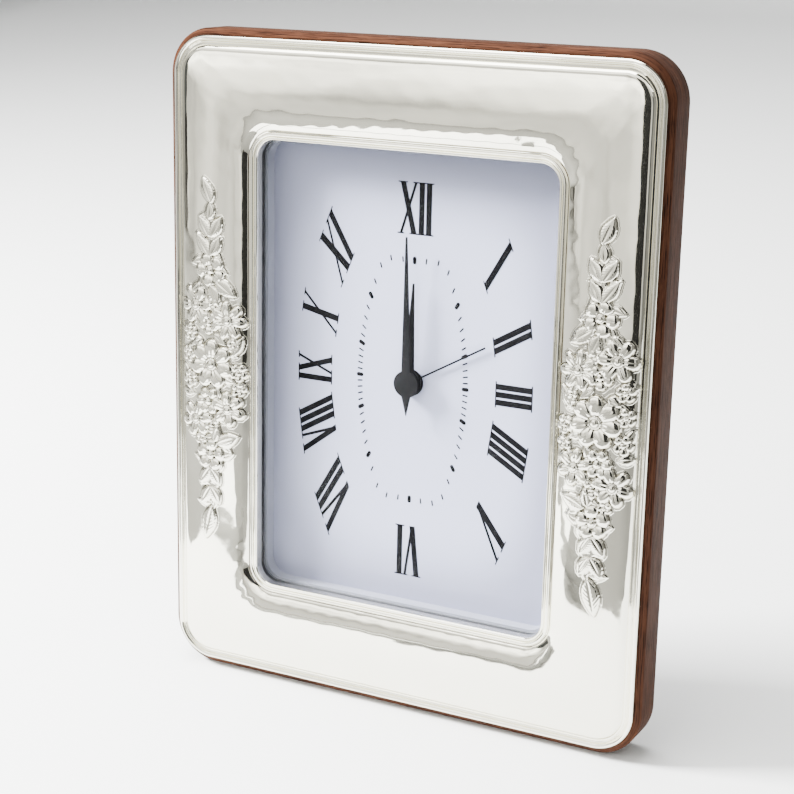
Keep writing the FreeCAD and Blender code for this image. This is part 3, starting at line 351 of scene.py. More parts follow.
def moulding_row(inset, radius=None):
    """The closed line round the moulding at one inset, from the right side anticlockwise."""
    radius = corner_radius(inset) if radius is None else radius
    wide = half_width - inset - radius
    tall = half_height - inset - radius
    row = []
    for quarter, (sx, sz) in enumerate([(1, 1), (-1, 1), (-1, -1), (1, -1)]):
        turns = np.radians(90 * quarter + np.linspace(0, 90, corner_steps + 1))
        arc = [(sx * wide + radius * math.cos(t), sz * tall + radius * math.sin(t)) for t in turns]
        nx, nz = [(-1, 1), (-1, -1), (1, -1), (1, 1)][quarter]
        first = (nx * wide + radius * math.cos(turns[-1]), nz * tall + radius * math.sin(turns[-1]))
        steps = side_steps[quarter % 2]
        last = np.array(arc[-1])
        side = [tuple(last * (1 - i / steps) + np.array(first) * i / steps) for i in range(1, steps)]
        row += arc + side
    return row


def skin(rows, wrap_rows=True, wrap_columns=True):
    """Quads between neighbouring rows of points of equal length."""
    count = len(rows[0])
    quads = []
    for r in range(len(rows) if wrap_rows else len(rows) - 1):
        after = (r + 1) % len(rows)
        for c in range(count if wrap_columns else count - 1):
            d = (c + 1) % count
            quads.append((r * count + c, r * count + d, after * count + d, after * count + c))
    return quads


silver = finish("silver", (0.86, 0.835, 0.71), (0.93, 0.91, 0.79), (0.035, 0.075), 1.0, 45.0, 650.0, 0.015)
# Tarnish and painted shade: the silver darkens where the relief sinks. This is partly real oxide in the recesses
# and partly painted shade in the crevices.
tarnish_and_shade = add_node(silver.node_tree, "ShaderNodeAttribute", {"attribute_name": "tarnish_and_shade"})
recoloured(silver, tarnish_and_shade.outputs["Fac"], (0.14, 0.128, 0.10, 1))
metal = 0.4
lip_depth = 1.9
under_insets = np.linspace(25.6, 3.6, 14)
silver_section = [(share * rail_width, -swell * rise, True) for share, rise in front_curve]
silver_section += [(rail_width, 0.9, False), (rail_width, lip_depth, False)]
silver_section += [(rail_width - metal, lip_depth, False), (rail_width - metal, 0.26, False)]
silver_section += [(inset, sheet_depth(inset) + metal, False) for inset in under_insets]
silver_section += [(1.5, 0.31, False)]
silver_rows = []
for inset, depth, waved in silver_section:
    row = moulding_row(inset)
    silver_rows.append([(x, depth + (hand_waves(x, z) if waved else 0), z) for x, z in row])
silver_sheet = stood_piece(
    "silver_sheet", [point for row in silver_rows for point in row], skin(silver_rows), silver, 40.0)
hand_over(silver_sheet, "clock", "silver", "silver_front")

# Flower garlands chased up out of both side rails: domed petals round a ringed button, creased
# leaves, one large bloom in the middle and leaf sprays that taper to both ends.
garland_step = 0.18
garland_sides = (46.2, 68.6)
garland_ends = (-53.6, 53.2)
garland_middle = 57.6
leaf_spread = 1.3
flower_spread = 1.08
sprig_count = 56
sprig_half_run = 41.0
sprig_length = 4.8
sprig_width = 2.7
petal_forms = {
    # middle, half length, fullness, lift, crease, button
    "round": (0.62, 0.38, 1.12, 1.0, 0.4, 0.26),
    "long": (0.58, 0.42, 1.0, 1.0, 0.9, 0.26),
    "broad": (0.60, 0.40, 1.22, 1.35, 0.45, 0.24),
}
garland_flowers = [
    (57.7, 26.3, 4.4, 5, "round"), (62.7, 16.0, 5.3, 6, "long"), (52.2, 12.5, 5.1, 7, "long"),
    (58.3, 11.3, 3.2, 5, "round"), (57.6, 16.9, 2.2, 5, "round"), (65.0, 8.0, 2.4, 5, "round"),
    (65.5, 1.6, 2.3, 5, "round"), (65.0, -5.6, 2.5, 5, "round"), (49.0, -2.2, 2.4, 5, "round"),
    (48.9, -6.9, 2.0, 5, "round"), (57.5, -0.4, 6.6, 7, "broad"), (58.6, -11.2, 3.7, 6, "round"),
    (62.9, -17.0, 4.9, 6, "long"), (52.2, -13.0, 4.8, 6, "long"), (57.4, -18.0, 2.4, 5, "round"),
    (58.0, -26.9, 4.3, 5, "round"), (50.4, 5.6, 2.0, 5, "round"), (61.0, -22.6, 1.8, 5, "round"),
]
garland_leaves = [
    (57.1, 44.9, 60.0, 51.8, 3.2), (58.0, 40.4, 57.5, 45.4, 2.6), (57.9, 35.6, 61.4, 41.2, 3.0),
    (57.5, 35.6, 54.1, 41.3, 3.1), (58.0, 30.4, 62.2, 36.2, 2.8), (57.6, 30.4, 54.5, 35.8, 3.0),
    (56.0, 23.6, 49.7, 19.3, 3.4), (57.6, 22.0, 55.2, 16.4, 3.0), (50.6, 2.6, 47.8, 8.2, 2.2),
    (55.6, -23.4, 49.0, -20.6, 3.3), (56.6, -22.8, 55.4, -17.8, 2.8), (58.0, -30.6, 61.6, -35.6, 2.9),
    (57.8, -30.6, 54.7, -35.8, 3.0), (57.9, -36.2, 61.2, -41.6, 3.0), (57.7, -36.2, 54.8, -41.4, 3.0),
    (57.5, -42.0, 59.8, -52.3, 3.7), (61.0, 22.0, 64.4, 19.4, 2.0), (60.6, 6.4, 64.0, 4.6, 2.4),
]
garland_sprigs = []
for k in range(sprig_count):
    at = -sprig_half_run + 2 * sprig_half_run * k / (sprig_count - 1)
    half = 1.6 + 7.0 * math.exp(-(((at + 2.0) / 19.0) ** 2))
    lie = 2.4 * k
    root = garland_middle + half * math.sin(1.9 * k)
    tip = (root + sprig_length * math.cos(lie), at + sprig_length * math.sin(lie))
    garland_sprigs.append((root, at, *tip, sprig_width))


def neighbours(grid):
    """The four neighbours of every inner cell of a grid."""
    return grid[:-2, 1:-1], grid[2:, 1:-1], grid[1:-1, :-2], grid[1:-1, 2:]


def garland_relief(x, z):
    """Height of the chased leaves and flowers over the rail, well under it where there are none."""
    height = np.full(x.shape, -0.15)

    def raise_to(mask, level):
        height[mask] = np.maximum(height[mask], level[mask])

    for row, (root_x, root_z, tip_x, tip_z, width) in enumerate(garland_sprigs + garland_leaves):
        low = row < len(garland_sprigs)
        width *= 1.0 if low else leaf_spread
        length = math.hypot(tip_x - root_x, tip_z - root_z)
        ux, uz = (tip_x - root_x) / length, (tip_z - root_z) / length
        along = ((x - root_x) * ux + (z - root_z) * uz) / length
        aside = -(x - root_x) * uz + (z - root_z) * ux
        inside = (along > 0) & (along < 1)
        span = np.where(inside, width / 2 * np.sin(np.pi * np.clip(along, 0, 1) ** 0.85) ** 0.8, 1.0)
        share = np.abs(aside) / np.maximum(span, 0.02)
        swollen = np.clip(1 - share * share, 0, 1) ** 0.4
        veins = 0.10 * np.exp(-(((along * 9 + 2.2 * share) % 1 - 0.5) / 0.16) ** 2) * share
        midrib = 0.22 * np.exp(-((share / 0.13) ** 2)) * np.clip(1.2 - along, 0, 1)
        level = 0.16 + 0.34 * swollen if low else 0.34 + 0.62 * swollen * (1 - 0.25 * along)
        raise_to(inside & (share < 1), level - veins - midrib)
    for centre_x, centre_z, radius, petals, kind in garland_flowers:
        radius *= flower_spread
        reach = np.hypot(x - centre_x, z - centre_z) / radius
        angle = np.arctan2(z - centre_z, x - centre_x) + centre_x + 0.7 * centre_z
        petal = (angle / (2 * np.pi / petals)) % 1 - 0.5
        turn = petal * 2 * np.pi / petals
        outward = reach * np.cos(turn)
        aside = reach * np.sin(turn)
        middle, half_long, fullness, lift, fold, button = petal_forms[kind]
        half_wide = fullness * middle * math.sin(math.pi / petals)
        oval = ((outward - middle) / half_long) ** 2 + (aside / (half_wide * (0.80 + 0.35 * outward))) ** 2
        dome = lift * (0.6 + 0.4 * min(radius / 4, 1))
        crease = 0.30 * dome * np.exp(-((aside / 0.045) ** 2)) * np.clip(1.0 - outward, 0, 1) * fold
        level = 0.30 + 0.85 * dome * np.clip(1 - oval, 0, 1) ** 0.38 * (0.62 + 0.38 * outward) - crease
        raise_to(oval < 1, level)
        ring = 0.55 + dome * (0.45 + 0.25 * np.sqrt(np.clip(1 - (reach / button) ** 2, 0, 1)))
        ring -= 0.28 * dome * np.exp(-(((reach - 0.66 * button) / (0.16 * button)) ** 2))
        raise_to(reach < button, ring)
    height[1:-1, 1:-1] = sum(neighbours(height), 4 * height[1:-1, 1:-1]) / 8
    return height


def garland(name, side):
    """One garland as a closed skin a little proud of the side rail, darkened in its hollows by tarnish and painted
    shade.
    """
    x, z = np.meshgrid(
        np.arange(*garland_sides, garland_step), np.arange(*garland_ends, garland_step), indexing="ij")
    height = garland_relief(x, z)
    near = height > 0
    for _ in range(4):
        up, down, left, right = neighbours(near)
        near[1:-1, 1:-1] |= up | down | left | right
    height = np.where(near, np.maximum(height, 0.06), height)
    # Tarnish and painted shade: the silver is darkened according to how far the relief sinks below its smoothed
    # level.
    broad_level = height.copy()
    for _ in range(8):
        broad_level[1:-1, 1:-1] = sum(neighbours(broad_level), broad_level[1:-1, 1:-1]) / 5
    hollow = np.clip((broad_level - height - 0.015) / 0.14, 0, 1)
    inset = half_width - x
    fall = np.clip(inset / 6.0, 0.25, 1.0)
    top = sheet_depth(inset) + hand_waves(side * x, z) - np.where(height > 0, height * fall, height)
    shown = height > -0.14
    cell = shown[:-1, :-1] | shown[1:, :-1] | shown[:-1, 1:] | shown[1:, 1:]
    used = np.zeros(x.shape, bool)
    for dx, dz in ((0, 0), (1, 0), (0, 1), (1, 1)):
        used[dx:x.shape[0] - 1 + dx, dz:x.shape[1] - 1 + dz] |= cell
    number = np.full(x.shape, -1)
    number[used] = np.arange(used.sum())
    count = int(used.sum())
    under = sheet_depth(inset[used]) + 0.3
    points = list(zip(side * x[used], top[used], z[used])) + list(zip(side * x[used], under, z[used]))
    faces = []
    sides = {}
    for i, j in zip(*np.nonzero(cell)):
        loop = [number[i, j], number[i + 1, j], number[i + 1, j + 1], number[i, j + 1]]
        loop = loop if side > 0 else loop[::-1]
        faces.append(tuple(loop))
        faces.append(tuple(k + count for k in loop[::-1]))
        for a, b in zip(loop, loop[1:] + loop[:1]):
            sides[(a, b)] = True
    for a, b in sides:
        if (b, a) not in sides:
            faces.append((b, a, a + count, b + count))
    piece = stood_piece(name, points, faces, silver, 80.0)
    darkened = piece.data.attributes.new("tarnish_and_shade", "FLOAT", "POINT")
    darkened.data.foreach_set("value", list(hollow[used]) * 2)
    hand_over(piece, "clock", "silver", "silver_front")


garland("garland_right", 1)
garland("garland_left", -1)

# Mahogany frame: four mitred rails that follow the silver's outline, with a small dark chamfer in
# front and a rounded back edge. The grain runs along each rail and round its half of the corner.
wood = bpy.data.materials.new("frame_wood")
wood.use_nodes = True
wood_tree = wood.node_tree
wood_shader = wood_tree.nodes["Principled BSDF"]
along_grain = add_node(wood_tree, "ShaderNodeUVMap", {"uv_map": "grain"}).outputs["UV"]
figure, pores = (
    add_node(
        wood_tree, "ShaderNodeTexNoise", Scale=1.0, Detail=detail, Roughness=roughness,
        Vector=add_node(wood_tree, "ShaderNodeMapping", Vector=along_grain, Scale=stretch).outputs["Vector"],
    ).outputs["Fac"]
    for stretch, detail, roughness in (((34.0, 700.0, 1.0), 5.0, 0.6), ((105.0, 3000.0, 1.0), 3.0, 0.7)))
wood_tint = add_node(wood_tree, "ShaderNodeValToRGB", Fac=figure)
dark_stop, light_stop = wood_tint.color_ramp.elements
dark_stop.position, dark_stop.color = 0.28, (0.028, 0.0098, 0.0052, 1)
light_stop.position, light_stop.color = 0.74, (0.084, 0.033, 0.0175, 1)
pore_mask = add_node(wood_tree, "ShaderNodeMapRange", Value=pores, From_Min=0.38, From_Max=0.52)
wood_colour = mix_colours(
    wood_tree, pore_mask.outputs["Result"], (0.011, 0.004, 0.0022, 1), wood_tint.outputs["Color"])
wood_gloss = add_node(wood_tree, "ShaderNodeMapRange", Value=pores, To_Min=0.75, To_Max=0.5)
wood_bump = add_node(wood_tree, "ShaderNodeBump", Height=pores, Strength=0.25, Distance=0.0002)
wood_tree.links.new(wood_colour, wood_shader.inputs["Base Color"])
wood_tree.links.new(wood_gloss.outputs["Result"], wood_shader.inputs["Roughness"])
wood_tree.links.new(wood_bump.outputs["Normal"], wood_shader.inputs["Normal"])
wood_shader.inputs["Specular IOR Level"].default_value = 0.05

wood_overhang = 1.7
wood_front = 0.41
wood_back = 12.0
chamfer_start = -0.25
chamfer_width = 1.35
chamfer_depth = 1.05
back_round = 1.5
rebate_inset = 23.0
rebate_corner = 2.0
rebate_floor = 2.0
wood_section = [(inset, sheet_depth(inset) + 0.5, None) for inset in np.linspace(25.6, 3.6, 12)]
wood_section += [(inset, wood_front, None) for inset in (3.2, 0.0, chamfer_start)]
wood_section += [
    (chamfer_start - chamfer_width * t, wood_front + chamfer_depth * (t ** 1.25), None)
    for t in np.linspace(0.12, 0.88, 5)]
wood_section += [(-1.66, 1.52, None)]
wood_section += [(-wood_overhang, depth, None) for depth in (1.75, 4.5, 7.5, wood_back - back_round)]
wood_section += [
    (back_round * (1 - math.cos(t)) - wood_overhang, wood_back + back_round * (math.sin(t) - 1), None)
    for t in np.radians([15, 30, 45, 60, 75, 90])]
wood_section += [(inset, wood_back, None) for inset in (5.0, 12.0, 18.0)]
wood_section += [(rebate_inset, wood_back, rebate_corner), (rebate_inset, rebate_floor, rebate_corner)]
wood_section += [(26.5, rebate_floor, None), (26.5, 0.36, None)]
wood_rows = [(depth, moulding_row(inset, radius)) for inset, depth, radius in wood_section]
loop_length = len(wood_rows[0][1])
chamfer_row = 16
mid_corners = []
cursor = corner_steps // 2
for quarter in range(4):
    mid_corners.append(cursor)
    cursor += corner_steps + side_steps[quarter % 2]
next_points = wood_section[1:] + wood_section[:1]
section_run = np.cumsum([0] + [
    math.hypot(b[0] - a[0], b[1] - a[1]) for a, b in zip(wood_section, next_points)])
for rail, name in enumerate(("top", "left", "bottom", "right")):
    start = mid_corners[rail]
    stop = mid_corners[(rail + 1) % 4] + (loop_length if rail == 3 else 0)
    picks = [k % loop_length for k in range(start, stop + 1)]
    rows = [[(row[k][0], depth, row[k][1]) for k in picks] for depth, row in wood_rows]
    points = [point for row in rows for point in row]
    count = len(picks)
    faces = skin(rows, True, False)
    faces.append(tuple(r * count for r in range(len(rows))))
    faces.append(tuple(r * count + count - 1 for r in reversed(range(len(rows)))))
    rail_piece = stood_piece("rail_" + name, points, faces, wood, 50.0)
    middle = np.array(rows[chamfer_row])
    travel = np.concatenate([[0], np.cumsum(np.linalg.norm(np.diff(middle, axis=0), axis=1))])
    grain = rail_piece.data.uv_layers.new(name="grain")
    last_row = len(rows) - 1
    for face in rail_piece.data.polygons:
        spots = [divmod(rail_piece.data.loops[corner].vertex_index, count) for corner in face.loop_indices]
        closes_loop = any(row_number == last_row for row_number, column in spots)
        for corner, (row_number, column) in zip(face.loop_indices, spots):
            around = section_run[-1] if row_number == 0 and closes_loop else section_run[row_number]
            grain.data[corner].uv = ((travel[column] + 211.0 * rail) / 1000, (around + 37.0 * rail) / 1000)
    hand_over(rail_piece, "clock", "frame_wood", "wood_rail_" + name)

# Window: a pane of clear float glass in the rebate, a black foam tape round it and a white card
# frame that holds the dial back from the glass.
glass = bpy.data.materials.new("glass")
glass.use_nodes = True
glass_tree = glass.node_tree
pane_shader = glass_tree.nodes["Principled BSDF"]
pane_shader.inputs["Base Color"].default_value = (0.985, 0.995, 0.992, 1)
pane_shader.inputs["Transmission Weight"].default_value = 1.0
pane_shader.inputs["IOR"].default_value = 1.09
smear = add_node(glass_tree, "ShaderNodeGroup", {"node_tree": mottle}, Broad_Scale=25.0)
pane_gloss = add_node(glass_tree, "ShaderNodeMapRange", Value=smear.outputs["Broad"], To_Max=0.03)
glass_tree.links.new(pane_gloss.outputs["Result"], pane_shader.inputs["Roughness"])
clear = add_node(glass_tree, "ShaderNodeBsdfTransparent")
shadow_ray = add_node(glass_tree, "ShaderNodeLightPath").outputs["Is Shadow Ray"]
through = add_node(glass_tree, "ShaderNodeMixShader", Fac=shadow_ray)
glass_tree.links.new(pane_shader.outputs["BSDF"], through.inputs[1])
glass_tree.links.new(clear.outputs["BSDF"], through.inputs[2])
glass_tree.links.new(through.outputs["Shader"], glass_tree.nodes["Material Output"].inputs["Surface"])

# Finishes of all the clock's materials, by the record's material slots: papers, boards, plastics
# and metals as such clocks have them, each a little uneven from handling and wear.
looks = {
    "silver": silver,
    "frame_wood": wood,
    "glass": glass,
    "black_tape": finish("black_tape", (0.10, 0.105, 0.12), (0.14, 0.145, 0.16), (0.6, 0.8), bump=0.3),
    "white_card": finish("white_card", (0.24, 0.25, 0.31), (0.28, 0.29, 0.35), (0.6, 0.75), bump=0.1),
    "dial_paper": finish(
        "dial_paper", (0.41, 0.43, 0.59), (0.44, 0.46, 0.62), (0.5, 0.62), 0.0, 20.0, 1400.0, 0.03),
    "ink": finish("ink", (0.004, 0.004, 0.005), (0.008, 0.008, 0.009), (0.45, 0.6), bump=0.05),
    "grey_board": finish("grey_board", (0.30, 0.29, 0.27), (0.36, 0.35, 0.33), (0.8, 0.9), bump=0.3),
    "foam": finish("foam", (0.55, 0.55, 0.52), (0.62, 0.62, 0.60), (0.8, 0.95), bump=0.5),
    "panel_wood": finish(
        "panel_wood", (0.008, 0.0075, 0.0075), (0.016, 0.015, 0.0145), (0.55, 0.75), bump=0.4),
    "case_plastic": finish(
        "case_plastic", (0.008, 0.008, 0.0085), (0.013, 0.013, 0.0135), (0.35, 0.5), bump=0.25),
    "knob_plastic": finish("knob_plastic", (0.50, 0.50, 0.48), (0.58, 0.58, 0.56), (0.3, 0.42), bump=0.1),
    "white_nylon": finish("white_nylon", (0.74, 0.74, 0.70), (0.80, 0.80, 0.76), (0.35, 0.45), bump=0.05),
    "battery_shell": finish(
        "battery_shell", (0.02, 0.03, 0.05), (0.03, 0.042, 0.068), (0.25, 0.35), bump=0.02),
    "spring_steel": finish("spring_steel", (0.62, 0.62, 0.60), (0.72, 0.72, 0.70), (0.18, 0.3), 1.0),
    "steel": finish("steel", (0.50, 0.49, 0.47), (0.62, 0.61, 0.59), (0.22, 0.38), 1.0),
    "magnet": finish("magnet", (0.12, 0.12, 0.12), (0.18, 0.18, 0.18), (0.4, 0.55), 0.6),
    "copper": finish("copper", (0.55, 0.22, 0.11), (0.68, 0.30, 0.16), (0.25, 0.4), 1.0, 200.0, 2500.0, 0.4),
    "board": finish("board", (0.02, 0.12, 0.05), (0.03, 0.16, 0.07), (0.35, 0.5)),
    "brass": finish("brass", (0.66, 0.45, 0.18), (0.78, 0.56, 0.26), (0.22, 0.38), 1.0),
    "hand_black": finish("hand_black", (0.006, 0.006, 0.007), (0.010, 0.010, 0.011), (0.45, 0.55), bump=0.05),
}
for name, level in (
    ("hand_black", 0.06), ("ink", 0.03), ("case_plastic", 0.25), ("panel_wood", 0.15), ("dial_paper", 0.2),
):
    looks[name].node_tree.nodes["Principled BSDF"].inputs["Specular IOR Level"].default_value = level
slot_of = {row["node"]: row["material_slot"] for row in frame["record"]["subparts"]}
for node, piece in frame["nodes"].items():
    piece.data.materials.clear()
    piece.data.materials.append(looks[slot_of[node]])

# Dial of printed paper glued to a stiff plate. Its colour is painted darker from its edges inwards,
# a painted shade where the frame's recess, the glass and the spacer shade it.
dial_half_width = 0.044
dial_half_height = 0.062
dial_tree = looks["dial_paper"].node_tree
from_middle = add_node(
    dial_tree, "ShaderNodeMapping", Vector=place_on(dial_tree),
    Location=(-dial_centre[0] / dial_half_width, 0.0, -dial_centre[2] / dial_half_height),
    Scale=(1 / dial_half_width, 0.0, 1 / dial_half_height)).outputs["Vector"]
squared = add_node(
    dial_tree, "ShaderNodeVectorMath", {"operation": "MULTIPLY"}, i0=from_middle, i1=from_middle)
outwards = add_node(dial_tree, "ShaderNodeVectorMath", {"operation": "LENGTH"}, i0=squared.outputs["Vector"])
# Painted shade: the dial's colour turns darker towards its edges, where the recess shades it.
painted_edge_shade = add_node(
    dial_tree, "ShaderNodeMapRange", {"interpolation_type": "SMOOTHSTEP"},
    Value=outwards.outputs["Value"], From_Min=0.40, From_Max=0.95)
recoloured(looks["dial_paper"], painted_edge_shade.outputs["Result"], (0.26, 0.27, 0.37, 1))


# Hands stamped from thin brass and lacquered black, each pressed on its own shaft of the movement,
# with a small bevel round its blade.
def softened(node, body, name, width, segments=2):
    """A copy of a CAD piece whose sharp edges are rounded over, as moulded or cut pieces are."""
    work = bmesh.new()
    work.from_mesh(frame["nodes"][node].data)
    bmesh.ops.remove_doubles(work, verts=work.verts, dist=1e-7)
    bmesh.ops.dissolve_limit(work, angle_limit=math.radians(1.0), verts=work.verts, edges=work.edges)
    edges = [e for e in work.edges if len(e.link_faces) == 2 and e.calc_face_angle(0) > math.radians(40)]
    bmesh.ops.bevel(
        work, geom=edges, offset=width * 0.001, offset_type="OFFSET", segments=segments, profile=0.6,
        affect="EDGES", clamp_overlap=True)
    bmesh.ops.recalc_face_normals(work, faces=work.faces)
    mesh = bpy.data.meshes.new(name)
    work.to_mesh(mesh)
    work.free()
    mesh.shade_smooth()
    mesh.set_sharp_from_angle(angle=math.radians(32))
    mesh.materials.append(looks[slot_of[node]])
    piece = bpy.data.objects.new(name, mesh)
    bpy.context.scene.collection.objects.link(piece)
    hand_over(piece, body, slot_of[node], node)


softened("minute_hand", "minute_shaft", "minute_hand_blade", 0.12)
softened("hour_hand", "hour_shaft", "hour_hand_blade", 0.12)
softened("alarm_hand", "alarm_shaft", "alarm_hand_blade", 0.06)

# Minute track printed on the dial in black ink: fine strokes for the minutes and stout round-ended
# bars for the fives, on an oval with nearly straight sides. One setter lays out these and the screws:
# it copies a template to each place, turned by the place's own angle and by a chance spin.
set_out = bpy.data.node_groups.new("set_out", "GeometryNodeTree")
for socket_name, kind in (
    ("Places", "NodeSocketGeometry"), ("Template", "NodeSocketObject"), ("Finish", "NodeSocketMaterial"),
    ("Chance Spin", "NodeSocketFloat"), ("Seed", "NodeSocketInt"),
):
    set_out.interface.new_socket(socket_name, in_out="INPUT", socket_type=kind)
set_out.interface.new_socket("Pieces", in_out="OUTPUT", socket_type="NodeSocketGeometry")
fed = set_out.nodes.new("NodeGroupInput")
made = set_out.nodes.new("NodeGroupOutput")
own_turn = add_node(set_out, "GeometryNodeInputNamedAttribute", {"data_type": "FLOAT"}, Name="turn")
chance = add_node(
    set_out, "FunctionNodeRandomValue", {"data_type": "FLOAT"},
    Seed=fed.outputs["Seed"], i3=fed.outputs["Chance Spin"])
about = reckon(set_out, "ADD", own_turn.outputs["Attribute"], chance.outputs[1])
turned_by = add_node(set_out, "ShaderNodeCombineXYZ", Y=about)
template_shape = add_node(set_out, "GeometryNodeObjectInfo", Object=fed.outputs["Template"])
spread = add_node(
    set_out, "GeometryNodeInstanceOnPoints", Points=fed.outputs["Places"],
    Instance=template_shape.outputs["Geometry"], Rotation=turned_by.outputs[0])
real = add_node(set_out, "GeometryNodeRealizeInstances", Geometry=spread.outputs["Instances"])
dressed = add_node(
    set_out, "GeometryNodeSetMaterial", Geometry=real.outputs[0], Material=fed.outputs["Finish"])
set_out.links.new(dressed.outputs["Geometry"], made.inputs["Pieces"])


def laid_out(name, template, places, material, spin=0.0, seed=1):
    """A plain mesh of the template at every place (x, depth, z, turn) of the upright drawing."""
    host_mesh = bpy.data.meshes.new(name + "_places")
    host_mesh.from_pydata([place[:3] for place in places], [], [])
    turns = host_mesh.attributes.new("turn", "FLOAT", "POINT")
    turns.data.foreach_set("value", [place[3] for place in places])
    host = bpy.data.objects.new(name + "_places", host_mesh)
    bpy.context.scene.collection.objects.link(host)
    modifier = host.modifiers.new("set_out", "NODES")
    modifier.node_group = set_out
    given = {"Template": template, "Finish": material, "Chance Spin": spin, "Seed": seed}
    for item in set_out.interface.items_tree:
        if item.in_out == "INPUT" and item.name in given:
            modifier[item.identifier] = given[item.name]
    bpy.context.view_layer.update()
    evaluated = host.evaluated_get(bpy.context.evaluated_depsgraph_get())
    mesh = bpy.data.meshes.new_from_object(evaluated)
    mesh.name = name
    mesh.transform(stance)
    bpy.data.objects.remove(host)
    bpy.data.objects.remove(template)
    piece = bpy.data.objects.new(name, mesh)
    bpy.context.scene.collection.objects.link(piece)
    return piece


def template_piece(name, points, faces):
    """A small mesh in millimetres that is only copied from."""
    mesh = bpy.data.meshes.new(name)
    mesh.from_pydata(points, [], faces)
    mesh.shade_smooth()
    mesh.set_sharp_from_angle(angle=math.radians(35))
    template = bpy.data.objects.new(name, mesh)
    bpy.context.scene.collection.objects.link(template)
    return template


def ink_bar(name, length, width):
    """A printed stroke with round ends, a hair thick."""
    half = length / 2 - width / 2
    ends = [(math.cos(t), math.sin(t)) for t in np.radians(np.arange(0, 360, 22.5))]
    outline = [(width / 2 * c, math.copysign(half, s + 1e-9) + width / 2 * s) for c, s in ends]
    count = len(outline)
    points = [(x, 0.0, z) for x, z in outline] + [(x, 0.05, z) for x, z in outline]
    faces = [tuple(range(count)), tuple(reversed(range(count, 2 * count)))]
    faces += [(i, i + count, (i + 1) % count + count, (i + 1) % count) for i in range(count)]
    return template_piece(name, points, faces)


track_half_height = 33.3
side_bow_centre = -68.0
side_bow_radius = 84.0
shoulder = (8.0, 28.8)
shoulder_radius = 4.5


def track_reach(turn):
    """Distance from the dial's middle to the track in a direction from twelve, by halving."""
    dx, dz = abs(math.sin(turn)), abs(math.cos(turn))
    low, high = 0.0, 60.0
    for _ in range(40):
        middle = (low + high) / 2
        x, z = dx * middle, dz * middle
        inside = z < track_half_height and math.hypot(x - side_bow_centre, z) < side_bow_radius
        if inside and x > shoulder[0] and z > shoulder[1]:
            inside = math.hypot(x - shoulder[0], z - shoulder[1]) < shoulder_radius
        low, high = (middle, high) if inside else (low, middle)
    return low


mark_depth = dial_depth - 0.05
marks = {"minute": [], "hour": []}
for minute in range(60):
    turn = math.radians(6 * minute)
    reach = track_reach(turn)
    mark = (reach * math.sin(turn), mark_depth, reach * math.cos(turn), turn)
    marks["hour" if minute % 5 == 0 else "minute"].append(mark)
for name, length, width in (("minute", 1.6, 0.42), ("hour", 2.1, 1.1)):
    piece = laid_out(name + "_marks", ink_bar(name + "_bar", length, width), marks[name], looks["ink"])
    hand_over(piece, "clock", "ink", "minute_track")


# Back panel of dark fibre board with its cut-out, held by four spring clips that turn on slotted
# steel screws driven into the rails.
def screw_template(name, head_radius, head_height, shank_radius, shank_length):
    """A domed steel screw head with a straight slot, on a plain shank, its axis along the depth."""
    work = bmesh.new()
    profile = [(shank_radius, -shank_length), (shank_radius, 0.0)]
    profile += [(head_radius, 0.0), (head_radius, 0.25 * head_height)]
    for t in np.radians(np.arange(12, 90, 12)):
        profile.append((head_radius * math.cos(t), head_height * (0.25 + 0.75 * math.sin(t))))
    turns = np.radians(np.arange(0, 360, 11.25))
    rings = [
        [work.verts.new((radius * math.cos(a), depth, radius * math.sin(a))) for a in turns]
        for radius, depth in profile]
    for ring, after in zip(rings, rings[1:]):
        for k in range(len(ring)):
            work.faces.new((ring[k], after[k], after[(k + 1) % len(ring)], ring[(k + 1) % len(ring)]))
    work.faces.new(rings[0])
    work.faces.new(list(reversed(rings[-1])))
    bmesh.ops.recalc_face_normals(work, faces=work.faces)
    mesh = bpy.data.meshes.new(name)
    work.to_mesh(mesh)
    work.free()
    screw = bpy.data.objects.new(name, mesh)
    bpy.context.scene.collection.objects.link(screw)
    corners = ((-1, -1), (1, -1), (1, 1), (-1, 1))
    slot_points = [
        (sx * 1.2 * head_radius, y, sz * 0.16 * head_radius)
        for y in (0.45 * head_height, 2 * head_height) for sx, sz in corners]
    slot_faces = [(0, 3, 2, 1), (4, 5, 6, 7), (0, 1, 5, 4), (1, 2, 6, 5), (2, 3, 7, 6), (3, 0, 4, 7)]
    cutter = template_piece(name + "_slot", slot_points, slot_faces)
    work = bmesh.new()
    work.from_mesh(cutter.data)
    bmesh.ops.recalc_face_normals(work, faces=work.faces)
    work.to_mesh(cutter.data)
    work.free()
    cut = screw.modifiers.new("slot", "BOOLEAN")
    cut.object = cutter
    cut.solver = "EXACT"
    bpy.context.view_layer.update()
    slotted = bpy.data.meshes.new_from_object(screw.evaluated_get(bpy.context.evaluated_depsgraph_get()))
    bpy.data.objects.remove(screw)
    bpy.data.objects.remove(cutter)
    slotted.shade_smooth()
    slotted.set_sharp_from_angle(angle=math.radians(30))
    template = bpy.data.objects.new(name, slotted)
    bpy.context.scene.collection.objects.link(template)
    return template


softened("back_panel", "clock", "rear_board", 0.25)
for corner in ("upper_left", "lower_left", "upper_right", "lower_right"):
    softened("turn_clip_" + corner, "clip_" + corner, "spring_clip_" + corner, 0.12)
clip_out, clip_depth, clip_up = 52.5, 12.85, 40.0
clip_places = [(sx * clip_out, clip_depth, sz * clip_up, 0.0) for sx in (-1, 1) for sz in (-1, 1)]
clip_screw = screw_template("clip_screw", 2.1, 1.0, 1.0, 6.8)
clip_screws = laid_out("clip_screw_set", clip_screw, clip_places, looks["steel"], 3.1, 7)
hand_over(clip_screws, "clock", "steel", "clip_screws")

